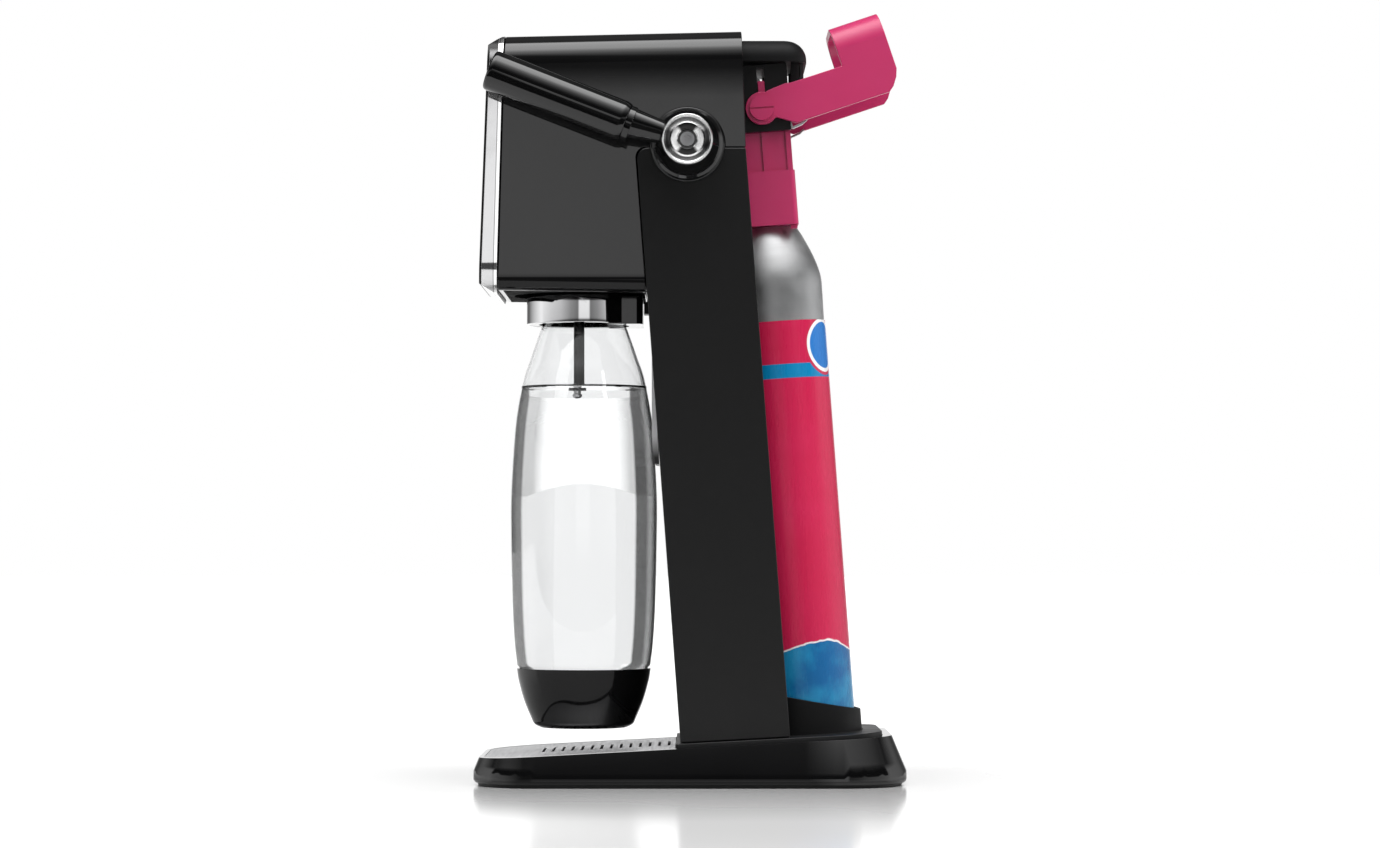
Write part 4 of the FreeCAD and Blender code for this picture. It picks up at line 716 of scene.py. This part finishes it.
def bottle_pieces(looks):
    """The bottle's wall, the water in it and the cup under it."""
    axis = Matrix.Translation((0, BOTTLE_AXIS.y, 0))
    outside = [(17.2, BOTTLE_TOP)] + through(BOTTLE_OUTLINE) + through(BOTTLE_FOOT)
    floor = [(0.0, BOTTLE_FLOOR), (0.0, BOTTLE_FLOOR + BOTTLE_FLOOR_THICKNESS)]
    inside = bottle_inside()
    shell = turned("bottle_shell", outside + floor + inside + [(16.0, BOTTLE_TOP)], steps=160,
                   sharp=50.0)
    new_piece("bottle_wall", shell, looks["bottle"], "carriage", "bottle_clear", "bottle",
              matrix=axis)

    overlap = 0.12
    wetted = [(radius + overlap, height) for radius, height in inside
              if height < WATER_LEVEL - 2.0]
    edge = wetted[-1][0]
    meniscus = [(edge + 0.05, WATER_LEVEL + 1.3), (edge - 0.15, WATER_LEVEL + 0.9),
                (edge - 0.8, WATER_LEVEL + 0.25), (edge - 2.2, WATER_LEVEL),
                (0.0, WATER_LEVEL)]
    bottom = [(0.0, BOTTLE_FLOOR + BOTTLE_FLOOR_THICKNESS - overlap)]
    filling = turned("bottle_filling", bottom + wetted + meniscus, steps=160, sharp=60.0)
    new_piece("bottle_water", filling, looks["water"], "carriage", "bottle_clear",
              matrix=axis)

    cup_outside = through([(38.9, 64.7), (37.8, 57.7), (34.6, 46.1), (30.4, 36.0),
                           (28.6, 32.6), (25.0, 30.6)])
    cup_floor = [(0.0, 30.4), (0.0, 33.1), (24.0, 33.1)]
    cup_inside = through([(29.1, 37.5), (33.1, 46.5), (36.1, 57.8), (37.3, 64.5)])
    cup = turned("base_cup", cup_outside + cup_floor + cup_inside, steps=160, sharp=45.0)
    new_piece("bottle_base_cup", cup, looks["cup"], "carriage", "gloss_black",
              "bottle_base_cap", matrix=axis)


def collar_pieces(looks):
    """The plated band round the bottle's neck, open at the back, and the dark tube."""
    inner, outer, low, high = 32.4, 33.9, 263.4, 279.5
    ends_behind_axis = 14.0
    half_gap = math.degrees(math.acos(ends_behind_axis / outer))
    band = turned("collar_arc", softened([(inner, low, 0), (outer, low, 0.5),
                                          (outer, high, 0.5), (inner, high, 0)]),
                  start=90.0 + half_gap, sweep=360.0 - 2 * half_gap, steps=120)
    new_piece("collar_band", band, looks["chrome"], "carriage", "chrome", "collar_ring",
              matrix=Matrix.Translation((0, COLLAR_AXIS.y, 0)))

    foot, collar, bore_top = 225.0, 3.9, 311.8
    stem = turned("tube_stem", softened([(0.0, foot, 0), (collar, foot, 0.5),
                                         (collar, foot + 3.0, 0.6), (3.1, foot + 4.5, 0.4),
                                         (3.1, bore_top, 0), (0.0, bore_top, 0)]), steps=48)
    new_piece("tube_body", stem, looks["tube"], "carriage", "tube_white", "carbonating_tube",
              matrix=Matrix.Translation((0, centre_of("carbonating_tube").y, 0)))


def cylinder_pieces(looks):
    """The gas cylinder's body and the printed film round it."""
    radius, neck, shoulder_foot, top = 29.7, 13.5, 280.0, 345.0
    foot = softened([(0.0, 26.6, 0), (23.5, 26.6, 3.0), (radius, 33.5, 6.0)])
    shoulder = through([(radius, shoulder_foot), (29.4, 290.8), (26.3, 301.8), (20.9, 313.9),
                        (17.5, 320.0)])
    tank = turned("tank", foot + shoulder + [(neck, 320.2), (neck, top), (0.0, top)],
                  steps=160, sharp=50.0)
    new_piece("cylinder_tank", tank, looks["tank"], "cylinder", "cylinder_aluminium",
              "gas_cylinder", matrix=LEANING)
    inner, outer, low, high = radius - 0.1, radius + 0.3, 40.0, 264.7
    film = turned("skin", softened([(inner, low, 0), (outer, low, 0.15), (outer, high, 0.15),
                                    (inner, high, 0)]), steps=160)
    new_piece("cylinder_film", film, looks["label"], "cylinder", "label", "cylinder_label",
              matrix=LEANING)


# ---------------------------------------------------------------- studio

def area_light(name, place, aim, width, height, power):
    """A rectangular lamp that lights the scene but isn't seen in reflections."""
    lamp = bpy.data.lights.new(name, "AREA")
    lamp.shape = "RECTANGLE"
    lamp.size = width
    lamp.size_y = height
    lamp.energy = power
    holder = bpy.data.objects.new(name, lamp)
    bpy.context.scene.collection.objects.link(holder)
    holder.location = place
    holder.rotation_mode = "QUATERNION"
    holder.rotation_quaternion = (Vector(aim) - Vector(place)).to_track_quat("-Z", "Y")
    holder.visible_glossy = False


def studio_world():
    """A white tent with a bright panel behind the camera, dark flags beside and above that
    panel, and a strong soft box overhead on the camera's side."""
    world = bpy.data.worlds.new("tent")
    bpy.context.scene.world = world
    world.use_nodes = True
    tree = world.node_tree
    tree.nodes.clear()

    def add(kind, *inputs, **settings):
        node = tree.nodes.new(kind)
        for key, value in settings.items():
            setattr(node, key, value)
        for index, value in enumerate(inputs):
            if isinstance(value, bpy.types.NodeSocket):
                tree.links.new(value, node.inputs[index])
            else:
                node.inputs[index].default_value = value
        return node.outputs[0]

    def maths(operation, *inputs):
        return add("ShaderNodeMath", *inputs, operation=operation)

    def ramp(source, stops, strength=1.0):
        """Straight lines through (place, share) stops, times a strength."""
        value = add("ShaderNodeValToRGB", source)
        elements = value.node.color_ramp.elements
        while len(elements) < len(stops):
            elements.new(0.5)
        for element, (spot, tone) in zip(elements, stops):
            element.position = spot
            element.color = (tone, tone, tone, 1.0)
        return maths("MULTIPLY", value, strength)

    direction = tree.nodes.new("ShaderNodeTexCoord").outputs["Generated"]
    axes = tree.nodes.new("ShaderNodeSeparateXYZ")
    tree.links.new(direction, axes.inputs[0])
    toward, side, up = axes.outputs
    angle = maths("ABSOLUTE", maths("ARCTAN2", side, toward))
    turn = maths("DIVIDE", angle, math.pi)
    around = ramp(turn, [(0.0, 0.95), (0.050, 0.95), (0.068, 0.20), (0.145, 0.30),
                         (0.26, 0.60), (0.39, 0.75), (0.53, 1.0), (0.68, 0.50), (0.79, 0.12),
                         (0.87, 0.12), (0.91, 0.76), (1.0, 0.76)], PANEL_STRENGTH)
    height = maths("ADD", up, 0.5)
    low_front = ramp(height, [(0.46, 0.06), (0.478, 0.9), (0.625, 1.0), (0.636, 0.012)])
    low_back = ramp(up, [(0.0, 1.0), (0.30, 1.0), (0.45, 0.05), (1.0, 0.05)])
    in_front = ramp(toward, [(0.0, 0.0), (0.04, 1.0)])
    low = maths("ADD", maths("MULTIPLY", low_front, in_front),
                maths("MULTIPLY", low_back, maths("SUBTRACT", 1.0, in_front)))
    above = ramp(up, [(0.0, 0.0), (0.36, 0.0), (0.50, 0.04), (0.67, 0.18), (0.80, 0.45),
                      (0.90, 1.0), (1.0, 1.0)], SOFT_BOX_STRENGTH)
    near_side = ramp(maths("ADD", toward, 0.5), [(0.0, 0.02), (0.36, 0.02), (0.46, 1.0)])
    tent = maths("ADD", maths("MULTIPLY", around, low), maths("MULTIPLY", above, near_side))
    glass_view = ramp(maths("ABSOLUTE", side), [(0.0, 1.0), (0.80, 1.0), (0.95, 0.06)])

    path = tree.nodes.new("ShaderNodeLightPath")
    through_glass = maths("MULTIPLY", glass_view, path.outputs["Is Transmission Ray"])
    others = maths("MULTIPLY", tent,
                   maths("SUBTRACT", 1.0, path.outputs["Is Transmission Ray"]))
    lit = add("ShaderNodeBackground", (1, 1, 1, 1), maths("ADD", through_glass, others))
    backdrop = add("ShaderNodeBackground", (1, 1, 1, 1), 1.0)
    chosen = add("ShaderNodeMixShader", path.outputs["Is Camera Ray"], lit, backdrop)
    output = tree.nodes.new("ShaderNodeOutputWorld")
    tree.links.new(chosen, output.inputs["Surface"])


def studio_floor():
    """A pale glossy table top that shows a soft reflection of the base, and glows a little
    away from the base, so that it fades into the backdrop."""
    middle = FLOOR_EDGE - FLOOR_SIZE / 2
    maker = bmesh.new()
    bmesh.ops.create_grid(maker, x_segments=8, y_segments=8, size=FLOOR_SIZE / 2)
    mesh = bpy.data.meshes.new("table_top")
    maker.to_mesh(mesh)
    maker.free()
    table = bpy.data.objects.new("table_top", mesh)
    table.location = (middle, 0, -0.0004)
    bpy.context.scene.collection.objects.link(table)
    n = Nodes("table_white")
    cloud = n.noise(3.0, 2.0)
    rough = n.spread(cloud, 0.3, 0.7, 0.13, 0.15)
    from_machine = n.stretched((1, 1, 1), shift=(middle, 0, 0))
    past = []
    for distance, half_base in zip(n.split(from_machine), (0.075, 0.12)):
        outside = n.maths("SUBTRACT", n.maths("ABSOLUTE", distance), half_base)
        past.append(n.maths("MAXIMUM", outside, 0.0))
    away = n.length(*past)
    glow = n.maths("ADD", n.spread(away, 0.02, 0.24, 0.0, 0.28),
                   n.spread(away, 0.24, 0.60, 0.0, 0.07))
    mesh.materials.append(n.surface(Base_Color=(0.50, 0.50, 0.50, 1.0), Roughness=rough,
                                    IOR=1.5, Emission_Color=(1.0, 1.0, 1.0, 1.0),
                                    Emission_Strength=glow))


def camera():
    """A long lens that looks at the lever's side from a little above the table."""
    lens = bpy.data.cameras.new("side_camera")
    lens.sensor_width = 36.0
    lens.lens = 95.8
    lens.clip_end = 100.0
    eye = bpy.data.objects.new("side_camera", lens)
    bpy.context.scene.collection.objects.link(eye)
    place = Vector((2.13, 0.0, 0.136))
    eye.location = place
    eye.rotation_mode = "QUATERNION"
    aim = Vector((0.0, 0.0, 0.206))
    eye.rotation_quaternion = (aim - place).to_track_quat("-Z", "Y")
    bpy.context.scene.camera = eye


def lights():
    """Two soft fills, one from the front and one from the rear of the camera's side."""
    area_light("fill_box", (1.2, -1.2, 1.2), (0, 0, 0.2), 0.8, 0.8, 7.0)
    area_light("rear_fill_box", (1.2, 1.3, 0.9), (0, 0.05, 0.25), 0.6, 0.9, 12.0)


def all_looks():
    """Every material, by a short name for its use."""
    return {
        "base": base_gloss(),
        "lever": gloss_black("lever_gloss", 0.0028, 0.05),
        "cup": gloss_black("cup_gloss", 0.0035, 0.07, 0.26),
        "panel": gloss_black("panel_gloss", 0.0028, 0.04),
        "collar": gloss_black("detail_gloss", 0.003, 0.08),
        "head": head_gloss(),
        "column": moulded("column_satin", colour(0.0035, 0.0035, 0.0036),
                          colour(0.0045, 0.0045, 0.0047), 0.40, 0.12, 0.34),
        "satin": moulded("satin_black", colour(0.0045, 0.0045, 0.0048),
                         colour(0.007, 0.007, 0.0075), 0.45, 0.25, 0.34),
        "matt": moulded("matt_black", colour(0.006, 0.006, 0.0062),
                        colour(0.009, 0.009, 0.0093), 0.5, 0.3, 0.12),
        "underside": moulded("underside_black", colour(0.002, 0.002, 0.002),
                             colour(0.003, 0.003, 0.003), 0.75, 0.3, 0.05),
        "backrest": backrest_plastic(),
        "bezel": bezel_plating(),
        "hub": hub_plating(),
        "chrome": chrome("bright_plating", 0.62, 0.03),
        "steel": brushed("turned_steel", 0.50, (1.0, 0.1, 0.1)),
        "tray": brushed("tray_steel", 0.72, (0.04, 1.0, 1.0), 0.34),
        "brass": brushed("machined_brass", 0.62, (0.1, 0.1, 1.0)),
        "pink": pink_plastic(),
        "rubber": rubber(),
        "bottle": clear_plastic(),
        "water": water(),
        "tube": moulded("tube_plastic", colour(0.010, 0.010, 0.011),
                        colour(0.016, 0.016, 0.017), 0.35, 0.1, 0.2),
        "tank": cylinder_metal(),
        "label": label_film(),
    }


bpy.context.scene.view_settings.view_transform = "Standard"
looks = all_looks()
cad_pieces(looks)
seam_lip(looks)
lever_pieces(looks)
bottle_pieces(looks)
collar_pieces(looks)
pivot_pins(looks)
cylinder_pieces(looks)
studio_world()
studio_floor()
lights()
camera()
